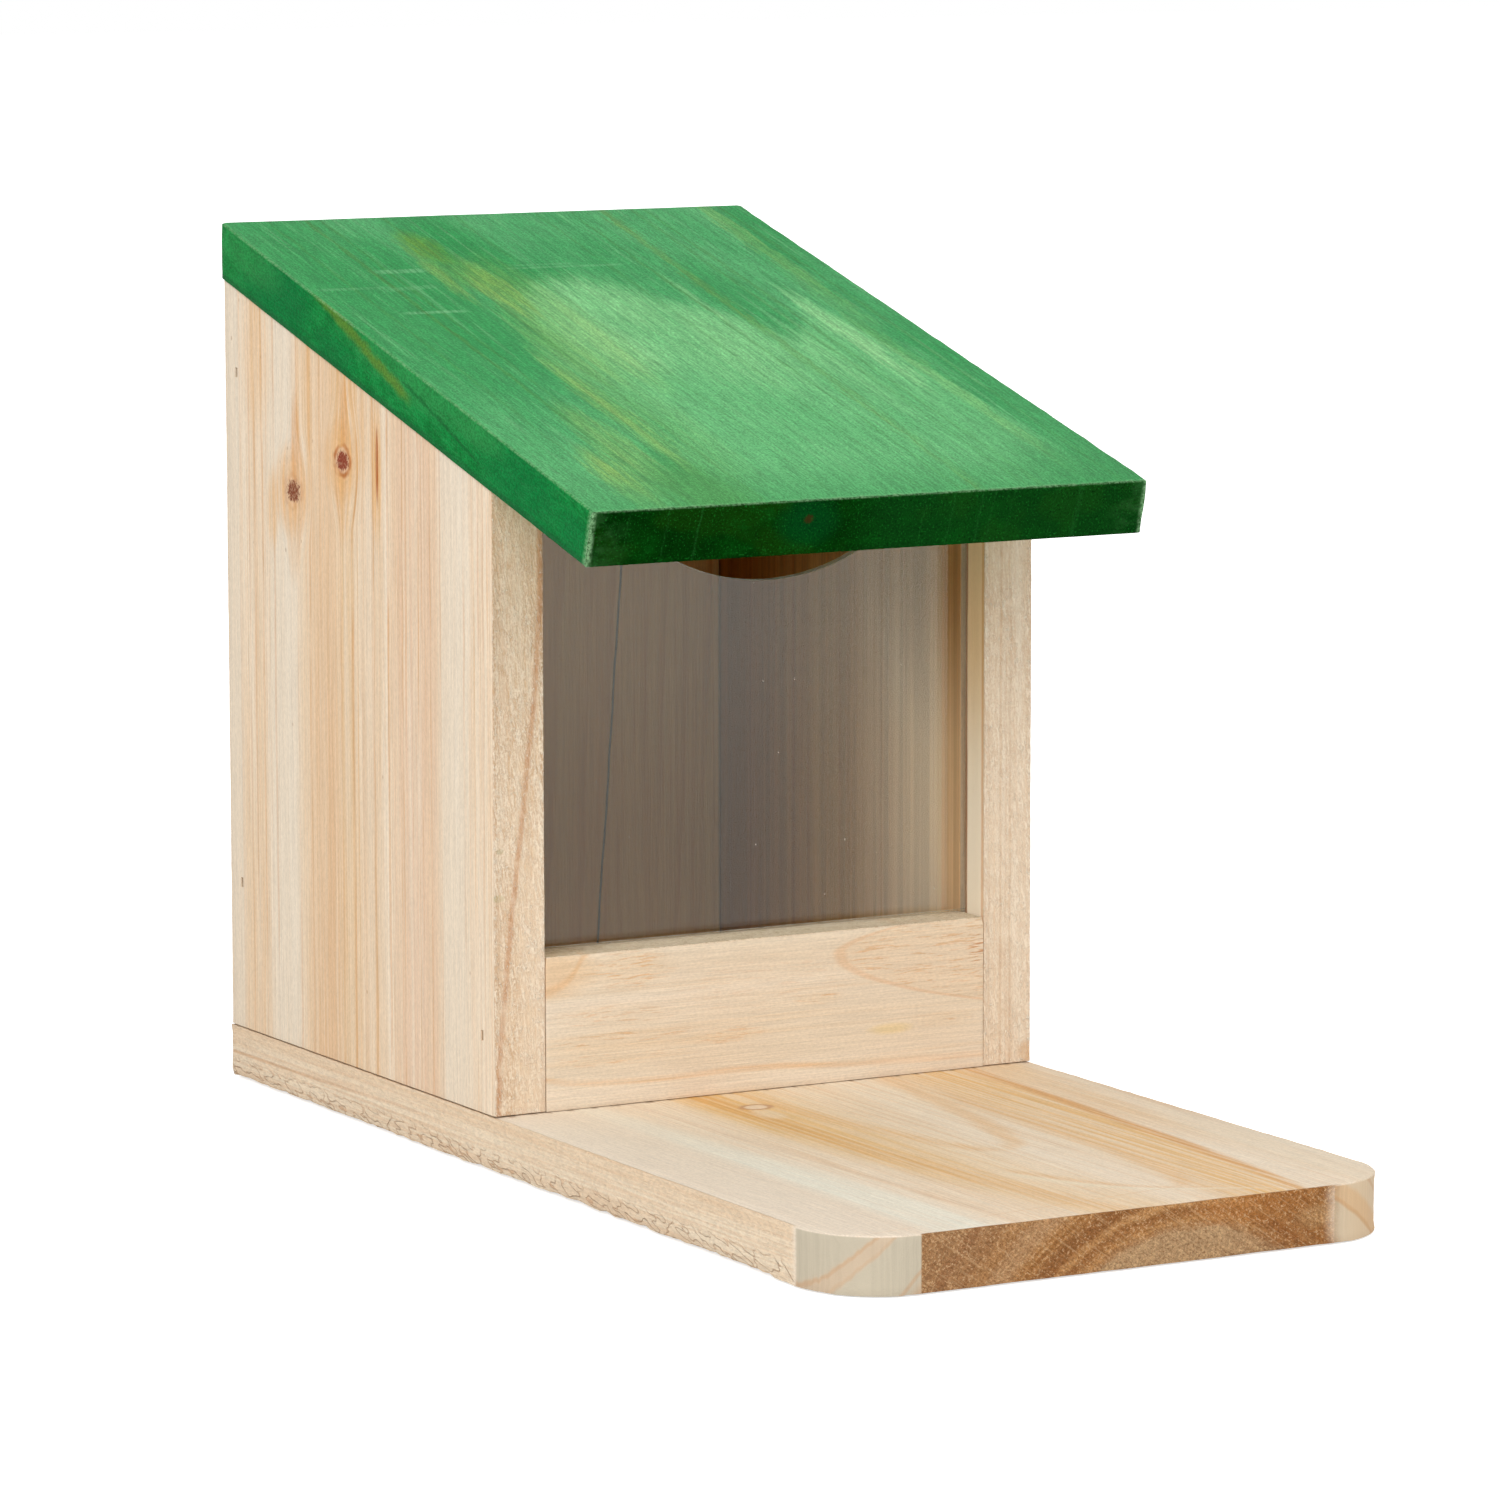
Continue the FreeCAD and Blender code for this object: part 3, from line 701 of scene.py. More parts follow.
def rail_finish():
    """Bare front rail: smooth level grain, an arch of orange dashes on the right and a rough top."""
    paint = Paint("Rail wood")
    x, y, z = split(paint.place)
    wood = Wood(z, y, x, (-42, -18), 5.2, 33, wobble=0.7)
    ripple = drift(join(x, 0, z), (16, 1, 4), 2, 2)
    dashes = ease(noise(join(x, 0, z + ripple), (5, 1, 0.36), 3, 0.62, 2), 0.53, 0.66)
    lift = z - 36.5
    arch = x - 16 - lift * lift * ease(lift, -1, 1, 0.23, 0.77) + ripple
    within = ease(arch, -0.5, 3)
    level = z + ripple * 0.25
    long_line = level - follow(x, (-48, 17), (-24, 15.4), (-4, 15.6), (18, 14.2), (48, 13.6))
    upper_line = level - follow(x, (-48, 34.2), (-44, 36), (-40, 41), (-30, 48))
    patches = spots(
        x, z, (-32, 23.8, 14, 1.6, 0.8), (-34, 20.2, 14, 1.2, 0.7), (-34, 28.5, 12, 2, 0.6), (-31, 37, 9, 3.4, 0.9),
        (-11, 22.6, 9, 1.5, 0.8), (11, 28, 5, 1.2, 0.9), (39, 21.5, 6, 1.2, 0.7), (0, 32, 22, 5, 0.25))
    shade = coat(
        mix(ease(wood.broad, 0.38, 0.66), display(229, 213, 192), display(225, 207, 183)),
        (ease(wood.streak, 0.5, 0.75, 0, 0.4), (222, 194, 158)),
        (wood.late * 0.08, (214, 172, 124)),
        (spot(x, z, (-49, 38), (10, 5), 0.9) * 0.5, (224, 184, 136)),
        (ease(upper_line, -1.4, 0) * ease(upper_line, 0.2, 1.6, 1, 0) * 0.4, (216, 166, 112)),
        (within * 0.25, (224, 190, 150)),
        (ease(abs(arch), 0.4, 2.2, 0.4, 0), (218, 168, 118)),
        (within * dashes * 0.5, (210, 158, 104)),
        (dashes * spot(x, z, (48.5, 34), (3, 4), 0.8) * 0.6, (184, 116, 62)),
        (wood.streaked(ease(abs(long_line), 0.1, 1, 0.6, 0), 0.4), (220, 176, 126)),
        (patches * dashes * 0.75, (212, 160, 108)),
        (patches * 0.2, (224, 188, 142)),
        (spot(x + wood.ragged * 3, z, (27.5, 20.5), (4.5, 1), 0.9) * 0.4, (232, 202, 126)))

    top = ease(z, RAIL_HIGH.z - 0.6, RAIL_HIGH.z - 0.2)
    fibres, slivers = rough_sawn(join(z, y, x))
    # Painted shade in the rough top's corner by the left plank and the pane
    nook_shade = ease(x, -44, -28, 0.7, 0) * ease(y, 9.5, 12.5)
    rough_tone = coat(
        mix(fibres, display(196, 170, 136), display(236, 218, 194)),
        (slivers * 0.7, (250, 240, 224)),
        (nook_shade * ease(fibres, 0.3, 0.8, 1, 0.5), (128, 98, 60)))
    height = wood.height + top * (fibres * 0.1 + slivers * 0.12)
    return paint.finish(mix(top, wood.planed(shade), rough_tone), 0.62, height, Specular_IOR_Level=WOOD_SHINE)


def base_top(wood, x, y):
    """Arched amber grain on the base's upper face, with a small knot and a few scratches."""
    sway = drift(join(y, 0, 0), (24, 1, 1), 2, 2) + wood.ragged * 2
    left = x + sway - follow(y, (-125, -2), (-93, -9), (-60, -13), (-20, -15.5), (7, -15.5))
    right = x + sway * 0.6 - follow(y, (-125, 36), (-93, 39.5), (-60, 42), (7, 45))
    front = ease(y, -115, 0, 0.45, 1)
    amber = ease(left, -10, -3) * ease(left, 2, 24, 1, 0)
    core = ease(left, -5, -1) * ease(left, 1, 4.5, 1, 0)
    honey = ease(right, -22, -8) * ease(right, -1, 3, 1, 0)
    rim = ease(right, 0, 3) * ease(right, 8, 13, 1, 0) * ease(y, -95, -35)
    inner_v = abs(x - 8.5 + sway * 0.5 + wood.ragged * 3) - (y + 68).most(0).root() * 2
    outer_v = x + sway * 0.5 - follow(y, (-112, 16), (-108, 21), (-95, 24.5), (-50, 27))
    slant = x + sway * 0.4 - follow(y, (-112, 17), (-109, 12.5), (-103, 7.5), (-92, 2), (-76, -3))
    arches = highest((
        ease(abs(inner_v), 0.2, 4, 0.45, 0) * ease(y, -70, -64),
        ease(abs(outer_v), 0.2, 3.5, 0.35, 0) * span(y, -112, -20, 14),
        ease(abs(slant), 0.2, 2.6, 0.4, 0) * span(y, -111, -88, 7)))
    hollow = ease(slant, -6, -2) * ease(slant, -2, -0.5, 1, 0) * span(y, -116, -90, 8)
    sap = ease(abs(x + 37 + (y + 60) * 0.04) + (y + 125) * 0.03, 4, 9, 1, 0) * ease(y, -70, 7, 1, 0.5)
    along_rim = wood.streaked(band(right, 0, 0.5, 1.8), 0.3) * ease(y, -120, -80, 0.6, 0.8)
    streaks = spot(x, y, (-9.5, 2), (1.6, 7), 0.9).most(spot(x, y, (-12.5, -15), (2.4, 5), 0.9))
    dash = ease(dots(join(x + y * 0.5, y, 0), (17, 26, 30), 6), 0.012, 0.03, 0.6, 0)
    oval = (x + wood.ragged * 1.2, y, (-11, -7.6))
    return coat(
        wood.colour(0.26),
        (ease(x, -46, -24, 0.8, 0.2), (229, 215, 197)),
        (wood.streaked(amber, 0.5) * front * 0.9, (224, 182, 118)),
        (wood.streaked(core, 0.35) * front * 0.8, (214, 160, 92)),
        (wood.streaked(honey, 0.35) * 0.9, (223, 179, 118)),
        (wood.streaked(rim, 0.5) * 0.6, (222, 184, 138)),
        (along_rim, (208, 150, 88)),
        (wood.streaked(hollow, 0.5) * 0.5, (232, 222, 200)),
        (wood.streaked(arches, 0.6), (219, 168, 104)),
        (wood.streaked(sap, 0.6) * 0.85, (231, 227, 211)),
        (ease(x, 47, 52) * ease(y, -95, -35, 0.6, 0.1), (228, 212, 188)),
        (streaks * 0.6, (232, 212, 184)),
        (spot(*oval, (3.5, 2.9), 0.3) * 0.7, (184, 136, 104)),
        (spot(*oval, (2.4, 1.9), 0.4) * 0.9, (232, 208, 180)),
        (dash * ease(x, 10, 22), (140, 108, 76)))


def base_flank(place, y, z):
    """Sawn flanks of the base: their colour, and how far tufts and scars stand up."""
    fine = noise(place, (1, 40, 0.5), 3, 0.6, 2)
    tufts = noise(place, (0.6, 1.3, 0.45), 3, 0.65, 5)
    lean = y - z * 1.4
    scar = ease(abs(noise(join(0, lean, z), (1, 5, 2.2), 1, 0.5, 4) - 0.5), 0, 0.03, 1, 0)
    lifted = ease(dots(join(0, lean, z), (5, 9, 5), 8), 0.08, 0.2, 1, 0)
    low = ease(z, 2.5, 5.5, 1, 0)
    seam = ease(abs(z - 5.8 + (y - 95) * 0.012), 0.1, 0.5, 0.5, 0) * ease(y, 30, 80)
    tone = coat(
        mix(ease(fine, 0.36, 0.64), display(226, 200, 170), display(236, 218, 192)),
        (ease(z, 6, 10) * 0.4, (224, 192, 156)),
        (seam, (200, 154, 112)),
        (scar * low * 0.5, (198, 148, 104)),
        (lifted * low * 0.4, (242, 226, 200)))
    return (dimmed(tone, ease(tufts, 0.32, 0.68, 0.9, 1.08)),
            tufts * 0.45 + scar * low * 0.3 + lifted * low * 0.3)


def base_end(place, x, z, wobble, pores):
    """Brown sawn end grain of the base, with growth rings, pores and slanting saw marks."""
    grit = noise(place, (0.5, 1, 0.45), 2, 0.7, 16)
    saw = noise(turned(place, 0, radians(-35), 0), (9, 1, 0.3), 2, 0.6, 9)
    ring = distance(x - 12, z + 30) + wobble
    rings = noise(join(ring, 0, 0), (1.1, 1, 1), 2, 0.6, 2)
    west = ease(x, -4, 8, 1, 0)
    tone = coat(
        mix(ease(rings, 0.36, 0.64), display(186, 136, 84), display(158, 108, 60)),
        (ease(ring, 46, 60, 0, 0.5) * west, (154, 118, 86)),
        (band(ring, 50, 1.2, 2) * west * 0.5, (190, 152, 112)),
        (band(ring, 43.2, 0.8, 1.8) * west * 0.75, (140, 90, 48)),
        (band(ring, 60.5, 0.5, 1.8) * west * 0.5, (146, 100, 64)),
        (ease(ring, 35.5, 38, 0.8, 0), (182, 150, 112)),
        (band(ring, 39.4, 0.3, 1) * 0.6, (146, 94, 50)),
        (band(ring, 36.8, 0.2, 0.6) * 0.35, (158, 108, 66)),
        (spot(x, z, (26, 9), (12, 3), 0.9) * 0.6, (182, 120, 62)),
        (spot(x, z, (33, 3.5), (6, 2.5), 0.9) * 0.4, (146, 92, 50)),
        (ease(x, 18, 34) * 0.4, (136, 80, 30)),
        (spot(x, z, (39, 5.5), (4, 2), 0.9) * 0.4, (202, 162, 112)))
    return coat(
        dimmed(tone, ease(pores, 0.36, 0.64, 0.72, 1.2)),
        (ease(grit, 0.56, 0.66, 0, 0.6), (224, 186, 140)),
        (ease(grit, 0.34, 0.43, 0.55, 0), (112, 66, 32)),
        (ease(saw, 0.55, 0.68, 0, 0.35), (206, 170, 126)),
        (ease(saw, 0.32, 0.44, 0.3, 0), (134, 92, 56)))


def base_nose(x, y, z, wobble):
    """Pale rounded front corners of the base, with a few rings of the end grain."""
    outer = distance(x - 8, z + 47.6) + wobble * 0.3
    cuts = noise(join(x + y, 0, z), (0.35, 1, 20), 2, 0.6)
    rings = hairlines(outer, (83.2, 0.3, 0.4), (81.2, 0.3, 0.25), (73.2, 0.4, 0.45), (66.4, 0.4, 0.6))
    tone = coat(
        mix(ease(x, 35, 52, 1, 0), display(214, 190, 158), display(190, 179, 158)),
        (span(outer, 81.5, 83, 1) * 0.4, (206, 172, 140)),
        (rings, (190, 146, 106)),
        (span(outer, 66.8, 69, 1.2) * ease(x, 40, 42) * 0.5, (212, 168, 118)),
        (ease(outer, 70.5, 73, 1, 0) * ease(x, -40, -38, 1, 0) * 0.5, (194, 152, 112)))
    return dimmed(tone, ease(cuts, 0.34, 0.66, 0.95, 1.03))


def base_finish():
    """Bare base plank: arched amber grain on top, brown sawn ends, pale rounded corners."""
    paint = Paint("Base plank wood")
    x, y, z = split(paint.place)
    wood = Wood(x, z, y, (15, -31.4), 4.3, 47, wobble=0.4, drop=-0.053)
    # Painted contact shade along the foot of the front rail
    nook_shade = ease(noise(join(x, 0, 7), (2.5, 1, 1), 3, 0.6), 0.5, 0.6) * ease(y, 5.6, 6.8) * ease(y, 8, 8.5, 1, 0)
    shade = coat(wood.planed(base_top(wood, x, y)), (nook_shade * 0.55, (150, 116, 84)))

    flank = ease(abs(x), 59, 59.5) * ease(y, -109, -106.5)
    flank_tone, standing = base_flank(paint.place, y, z)
    wobble = drift(paint.place, (6, 1, 4), 2.4, 2, 0.5, 3)
    pores = noise(paint.place, (0.32, 1, 0.3), 2, 0.75, 6)
    front_end = (ease(y, BASE_LOW.y + 0.5, BASE_LOW.y + 0.8, 1, 0) * ease(x + 0.6, -43.3, -42.9)
                 * ease(x + wobble, 40.5, 45.5, 1, 0))
    end = front_end.most(ease(y, BASE_HIGH.y - 0.7, BASE_HIGH.y - 0.3) * 0.6)
    nose = ease(y, -109, -108, 1, 0) * ease(abs(x), 43, 43.4) * ease(z, BASE_HIGH.z - 0.5, BASE_HIGH.z - 0.2, 1, 0)
    shade = mix(flank, shade, flank_tone)
    shade = mix(nose, shade, base_nose(x, y, z, wobble))
    shade = mix(end, shade, base_end(paint.place, x, z, wobble, pores))
    return paint.finish(shade, 0.64, wood.height + flank * standing + end * pores * 0.35,
                        Specular_IOR_Level=WOOD_SHINE)


# Finishes of the lid, the pane and the metal

def lid_face(shaken, x, y, reach, bristly, brush, patch):
    """Rubbed stain on the lid's faces: a worn crest in the middle, olive and dark streaks beside it."""
    dark = spots(
        shaken, y, (-17, 102, 9, 26, 0.95), (-8, 89, 9, 7, 0.8), (-37, 74, 11, 40, 0.8), (12, 92, 16, 16, 0.3),
        (29, 72, 6, 24, 0.55), (56, 10, 6, 60, 0.55), (-50, 80, 16, 60, 0.7), (-33, -22, 4, 18, 0.9),
        (57, 108, 6, 24, 0.6), (-55, -8, 4, 20, 0.3), (35, -30, 12, 8, 0.5))
    crest = follow(x, (-24, 40), (-18, 74), (-10, 83), (3, 84), (9, 75), (17, 70), (23, 62), (27, 50), (33, 54),
                   (38, 62), (42, 72), (46, 50), (52, -20))
    worn = ease(reach - crest, -7, 2, 1, 0) * ease(shaken, -28, -17)
    fading = ease(y, -30, 70, 0.5, 1)
    bright = spots(
        shaken, reach, (-2, 70, 12, 17, 0.6), (-10, 50, 8, 17, 0.8), (12, 45, 14, 22, 0.35), (42, 46, 2.4, 26, 1),
        (19.5, 60, 1.2, 24, 0.6), (30, 30, 4, 22, 0.35))
    seam = shaken - 24.6 - (y - 40) * 0.022
    veins = hairlines(
        shaken * 0.4 + x * 0.6, (-41.5, 0.5, 0.6), (-38.2, 0.4, 0.35), (19, 0.4, 0.4), (-24, 0.5, 0.35),
        (33.5, 0.5, 0.3), (-8, 0.4, 0.25), (11, 0.4, 0.25), (-50, 0.4, 0.3), (54.5, 0.5, 0.3), (36.5, 0.5, 0.35))
    olive = spots(
        shaken, y, (-20, 80, 4, 17, 0.85), (-28.5, 88, 1.4, 14, 0.6), (-14, 62, 5, 34, 0.4), (-22, 48, 6, 24, 0.4),
        (-29.5, 14, 3, 30, 0.65), (-39, -4, 4, 20, 0.55), (-46, -22, 4, 16, 0.85), (-25, 5, 8, 36, 0.2),
        (50.5, 100, 2, 40, 0.4), (47.5, 20, 1.8, 60, 0.25))
    dull_olive = spots(shaken, y, (-24, 106, 4, 9, 0.8), (-26, 92, 2, 10, 0.5))
    return coat(
        mix(ease(patch, 0.36, 0.66), display(86, 162, 104), display(72, 153, 94)),
        (dark, (46, 138, 74)),
        (ease(brush, 0.52, 0.75, 0, 0.45), (118, 182, 126)),
        (ease(brush, 0.26, 0.44, 0.5, 0), (54, 134, 76)),
        (ease(y, -30, 20, 0.35, 0), (104, 174, 116)),
        (worn * fading * ease(bristly, 0.3, 1, 0.72, 1) * 0.8, (116, 186, 124)),
        (bright * bristly * 0.8, (146, 201, 140)),
        (olive * bristly * 0.85, (140, 170, 84)),
        (dull_olive * bristly, (104, 140, 48)),
        (ease(y, -35, -10, 0.8, 0), (76, 150, 92)),
        (spot(shaken, y, (54, -30), (14, 20), 1) * 0.6, (60, 138, 80)),
        (spot(shaken, y, (-33, -28), (8, 14), 1) * 0.6, (80, 142, 76)),
        (ease(abs(seam), 0.3, 1.8, 0.6, 0) * ease(y, -30, 60, 0.5, 1) * bristly, (104, 138, 66)),
        (veins * ease(y, -20, 60, 0.5, 1), (72, 124, 62)))


def lid_scuffs(x, y):
    """Scratches across the lid: (place along it, thickness, first x, last x, strength, lean)."""
    return highest(
        band(y - x * lean, centre, thick, 0.7) * span(x, first, last, 4) * strength
        for centre, thick, first, last, strength, lean in (
            (93.4, 0.7, -39, -32, 0.6, 0), (92.6, 0.15, -10, 12, 0.4, 0), (94.2, 0.15, -8, 2, 0.3, 0),
            (70, 0.3, -44, -35, 0.7, 0), (84.6, 0.3, -56, -44, 0.35, 0), (87.5, 0.6, -42, -34, 0.3, 0.1)))


def lid_flank(flat, y, through, mottle, fuzz):
    """Dark mottled stain on the lid's long edges."""
    level = noise(flat, (1, 7, 0.6), 3, 0.6, 6)
    slope = through + (80 - y) * 0.15 + (mottle - 0.5) * 3
    vein = abs(through + 3.5 - (y - 40) * 0.13 + (mottle - 0.5) * 1.5)
    dark = spots(y, through, (95, -5, 12, 6, 0.8), (-8, -6, 16, 6, 0.6), (72, -8, 10, 3, 0.6), (-28, -7, 6, 4, 0.7),
                 (98, -8.5, 16, 3.5, 0.7))
    light = spots(y, through, (112, -3, 14, 4, 0.5), (40, -2, 24, 4, 0.5), (14, -2, 12, 3, 0.5), (119, -8, 8, 4, 0.2))
    tone = coat(
        mix(ease(mottle, 0.36, 0.64), display(0, 108, 44), display(16, 131, 60)),
        (ease(level, 0.5, 0.7, 0, 0.4), (44, 142, 74)),
        (dark, (2, 106, 50)),
        (light, (52, 140, 74)),
        (ease(abs(slope - 0.4), 0.2, 1.9, 0.75, 0) * span(y, 43, 80, 6), (92, 126, 40)),
        (ease(vein, 0.1, 0.6, 0.6, 0) * span(y, 12, 40, 5), (12, 84, 38)),
        (ease(through, -10.4, -9, 0.6, 0), (16, 80, 42)))
    return dimmed(tone, ease(fuzz, 0.36, 0.64, 0.76, 1.2))


def lid_front(flat, x, through, grain, fuzz):
    """Dark end grain at the lid's front, with pale hairs and a small heart."""
    blotch = noise(flat, (6, 9, 4), 4, 0.65, 7)
    warm = noise(flat, (11, 9, 9), 2, 0.5, 4)
    hairs = hairlines(
        x - through * 0.1 + (blotch - 0.5) * 1.2, (-43.8, 0.2, 0.35), (-37, 0.25, 0.55), (-52, 0.15, 0.25),
        (11.3, 0.15, 0.3), (17.6, 0.2, 0.4), (23.8, 0.25, 0.45), (26.4, 0.2, 0.35), (30.5, 0.15, 0.25),
        (40, 0.15, 0.2), (45.5, 0.6, 0.35))
    heart = spot(x + (grain - 0.5) * 2.6, through + (grain - 0.5) * 2, (-14, -4), (0.9, 0.8), 0.8)
    return coat(
        mix(ease(blotch, 0.36, 0.64), colours().stain_end, display(2, 52, 4)),
        (ease(warm, 0.5, 0.64, 0, 0.6), (16, 58, 4)),
        (ease(x, -8, 6) * 0.35, (16, 78, 26)),
        (ease(blotch, 0.56, 0.7, 0, 0.5), (6, 74, 16)),
        (spot(x, through, (-14, -4.5), (6, 4.5), 1) * 0.5, (1, 72, 28)),
        (hairs * ease(fuzz, 0.36, 0.6, 0, 0.8), (34, 100, 42)),
        (ease(grain, 0.56, 0.68, 0, 0.65), (26, 114, 38)),
        (ease(grain, 0.34, 0.44, 0.7, 0), (0, 22, 1)),
        (heart * 0.8, (56, 38, 14)),
        (ease(abs(x), 50, 60) * ease(blotch, 0.4, 0.6) * 0.4, (52, 100, 54)))


def lid_finish():
    """Green stain: rubbed thin in the middle, olive along some streaks, dark in the end grain."""
    paint = Paint("Stained lid wood")
    flat = turned(paint.place - (0, LID_HIGH.y, LID_HIGH.z), -ROOF_SLOPE, 0, 0)
    x, along, through = split(flat)
    y = along * cos(ROOF_SLOPE) + LID_HIGH.y
    fibre = noise(flat, (0.34, 6, 0.34), 3, 0.7, 2)
    fuzz = noise(flat, (0.36, 0.6, 0.36), 2, 0.7, 8)
    brush = noise(flat, (1.3, 38, 1.3), 3, 0.66, 5)
    patch = noise(flat, (12, 34, 12), 3, 0.55, 9)
    shaken = x + drift(flat, (1.1, 10, 1.1), 7, 3, 0.7, 17)
    reach = y + drift(flat, (0.7, 12, 2), 26, 3, 0.68, 13)
    bristly = ease(brush + fibre * 0.5, 0.5, 0.98, 0.3, 1)
    shade = dimmed(lid_face(shaken, x, y, reach, bristly, brush, patch),
                   ease(fibre, 0.34, 0.66, 0.79, 1.18), ease(fuzz, 0.36, 0.64, 0.8, 1.19))
    shade = coat(shade, (lid_scuffs(x, y) * ease(fibre, 0.4, 0.6, 0.1, 0.6), (150, 202, 156)))

    mottle = noise(flat, (3.4, 5, 2.4), 4, 0.68, 3)
    flank = ease(abs(x), LID_HIGH.x - 0.8, LID_HIGH.x - 0.45)
    shade = mix(flank, shade, lid_flank(flat, y, through, mottle, fuzz))
    grain = noise(flat, (0.4, 0.6, 0.4), 3, 0.7, 21)
    front = ease(along, -165, -164.7, 1, 0)
    shade = mix(front, shade, lid_front(flat, x, through, grain, fuzz))

    near_top = ease(through, -0.7, -0.1)
    rim = highest((
        near_top * ease(along, -165.4, -164, 1, 0),
        near_top * ease(abs(x), LID_HIGH.x - 1, LID_HIGH.x - 0.3) * 0.7,
        ease(along, -165.3, -163.2, 1, 0) * ease(abs(x), LID_HIGH.x - 1.4, LID_HIGH.x - 0.3)))
    frayed = ease(noise(flat, (0.6, 0.6, 0.6), 3, 0.7, 3), 0.38, 0.62, 0.2, 1)
    shade = coat(shade, (rim * frayed * 0.85, (140, 190, 138)))
    height = fibre * 0.09 + fuzz * 0.07 + front * grain * 0.2 + flank * mottle * 0.15
    return paint.finish(shade, ease(fibre, 0.3, 0.7, 0.55, 0.7), height,
                        Specular_IOR_Level=ease(front, 0, 1, 0.04, 0.01))


def pane_finish():
    """Clear pane that mirrors a little, with a film of fine sawdust, thicker on the right, where the film is partly
    painted light for the inner wall behind it.
    """
    paint = Paint("Clear pane")
    tree = paint.tree
    x = split(paint.place)[0]
    speck = ease(dots(paint.place, (5, 5, 7), 4), 0.018, 0.032, 0.4, 0)
    # The film's rise towards the right is partly painted light for the wall behind the pane
    film = ease(x, 6, 42, 0.004, 0.012) * ease(x, PANE_EDGE_FILM, PANE_EDGE_FILM + 0.5, 1, 0)
    film = film * ease(noise(paint.place, (9, 9, 60), 2), 0.3, 0.7, 0.9, 1.1)
    mirror = add_node(tree, "ShaderNodeLayerWeight", {"Blend": 0.5}, output="Facing") ** 5 * 0.96 + 0.029
    clear = add_node(tree, "ShaderNodeBsdfTransparent", {"Color": (0.99, 0.99, 0.985, 1)})
    gloss = add_node(tree, "ShaderNodeBsdfAnisotropic", {"Color": (0.98, 0.99, 0.88, 1), "Roughness": 0})
    dust_and_light = add_node(tree, "ShaderNodeBsdfDiffuse", {"Color": (0.97, 0.86, 0.72, 1)})
    glass = add_node(tree, "ShaderNodeMixShader", {0: mirror, 1: clear, 2: gloss})
    return paint.cover(add_node(tree, "ShaderNodeMixShader", {0: speck.most(film), 1: glass, 2: dust_and_light}))


def pane_edge_finish():
    """Sawn and polished edge of the pane, which looks slightly milky."""
    paint = Paint("Milky pane edge")
    cloudy = noise(paint.place, (1.2, 1.2, 1.2), 2)
    shade = mix(cloudy, display(190, 184, 172), display(216, 212, 200))
    return paint.finish(shade, 0.35, cloudy * 0.02, Alpha=0.45)


def metal_finish(name, colour, seed):
    """Zinc-plated or bright steel with faint blotches and fine scratches."""
    paint = Paint(name)
    blotch = noise(paint.place, (2.6, 2.6, 2.6), 4, 0.6, seed)
    scratch = noise(paint.place, (3, 0.12, 0.16), 2, 0.6, seed + 2)
    shade = dimmed(colour, ease(blotch, 0.3, 0.7, 0.8, 1.05))
    rough = ease(blotch + scratch * 0.5, 0.5, 1, 0.28, 0.48)
    return paint.finish(shade, rough, scratch * 0.01, Metallic=1)


# Pieces

def rough_up(piece, depth, size, name, weight):
    """Fray part of a piece with a fine cloud of a given size, in millimetres."""
    wear(piece, cloud("Fray %.1f mm" % size, size, depth=3, contrast=1.6), depth, group_where(piece, name, weight))


def plane_down(piece):
    """Press the planer's faint waves into a piece."""
    wear(piece, cloud("Planer ripple", 14), sizes().ripple)


def plank(piece_name, low, high, parts, shape=()):
    """A block with some of its corners moved, cut into a grid and rippled by the planer."""
    piece = start(piece_name, low, high)
    edit(piece)
    for wanted, shift in shape:
        pull(piece, wanted, shift)
    for axis, count in enumerate(parts):
        slice_up(piece, axis, count)
    leave()
    plane_down(piece)
    return piece


def sloping_top(low, high):
    """The move that lowers the front end of a block's top to the roof's slope."""
    return lambda place: place.y < low.y + 1 and place.z > high.z - 1, (0, 0, (low.y - high.y) * FALL)


def nail_pockets(places, size):
    """Cutters for the pockets that the brad heads sit in."""
    half = Vector(size) / 2
    return [start("Pocket", Vector(place) - half, Vector(place) + half) for place in places]


def build_side(piece_name, node, sign, low, high, material):
    """One side plank, with its kerf for the pane and pockets for three brads."""
    inner, outer = (high.x, low.x) if sign < 0 else (low.x, high.x)
    piece = plank(piece_name, low, high, (9, 44, 110), [sloping_top(low, high)])
    rough_up(piece, sizes().saw_marks, 1.6, "sawn edge",
             lambda place, normal: 1 if abs(normal.y) > 0.9 else 0.3 if abs(normal.y) > 0.5 else 0)
    soften(piece, sizes().arris)
    across = sorted((inner, inner + sign * KERF_DEPTH))
    kerf = start("Kerf", (across[0], PANE_LOW.y - KERF_PLAY, low.z - 1),
                 (across[1], PANE_HIGH.y + KERF_PLAY, high.z + 1))
    edit(kerf)
    pull(kerf, lambda place: abs(place.x - inner) < 0.01, (-sign, 0, 0))
    leave()
    nails = [(outer, 119.5, high.z - 18.5), (outer, 119.5, 41), (outer, 12.5, 26.1)]
    long, thin, deep = BRAD_POCKET
    cut_away(piece, [kerf, *nail_pockets(nails, (2 * deep, thin, long))])
    complete(piece, "box", node, material)


class FEEDER_OT_sides(bpy.types.Operator):
    """Build both side planks, with kerfs for the pane"""
    bl_idname = "feeder.sides"
    bl_label = "Side planks"

    def execute(self, context):
        left = side_finish("Left side wood", -1, 11, left_features)
        right = side_finish("Right side wood", 1, 15, right_features)
        build_side("left_side_plank", "left_side", -1, SIDE_LOW, SIDE_HIGH, left)
        build_side("right_side_plank", "right_side", 1, RIGHT_LOW, RIGHT_HIGH, right)
        return {"FINISHED"}


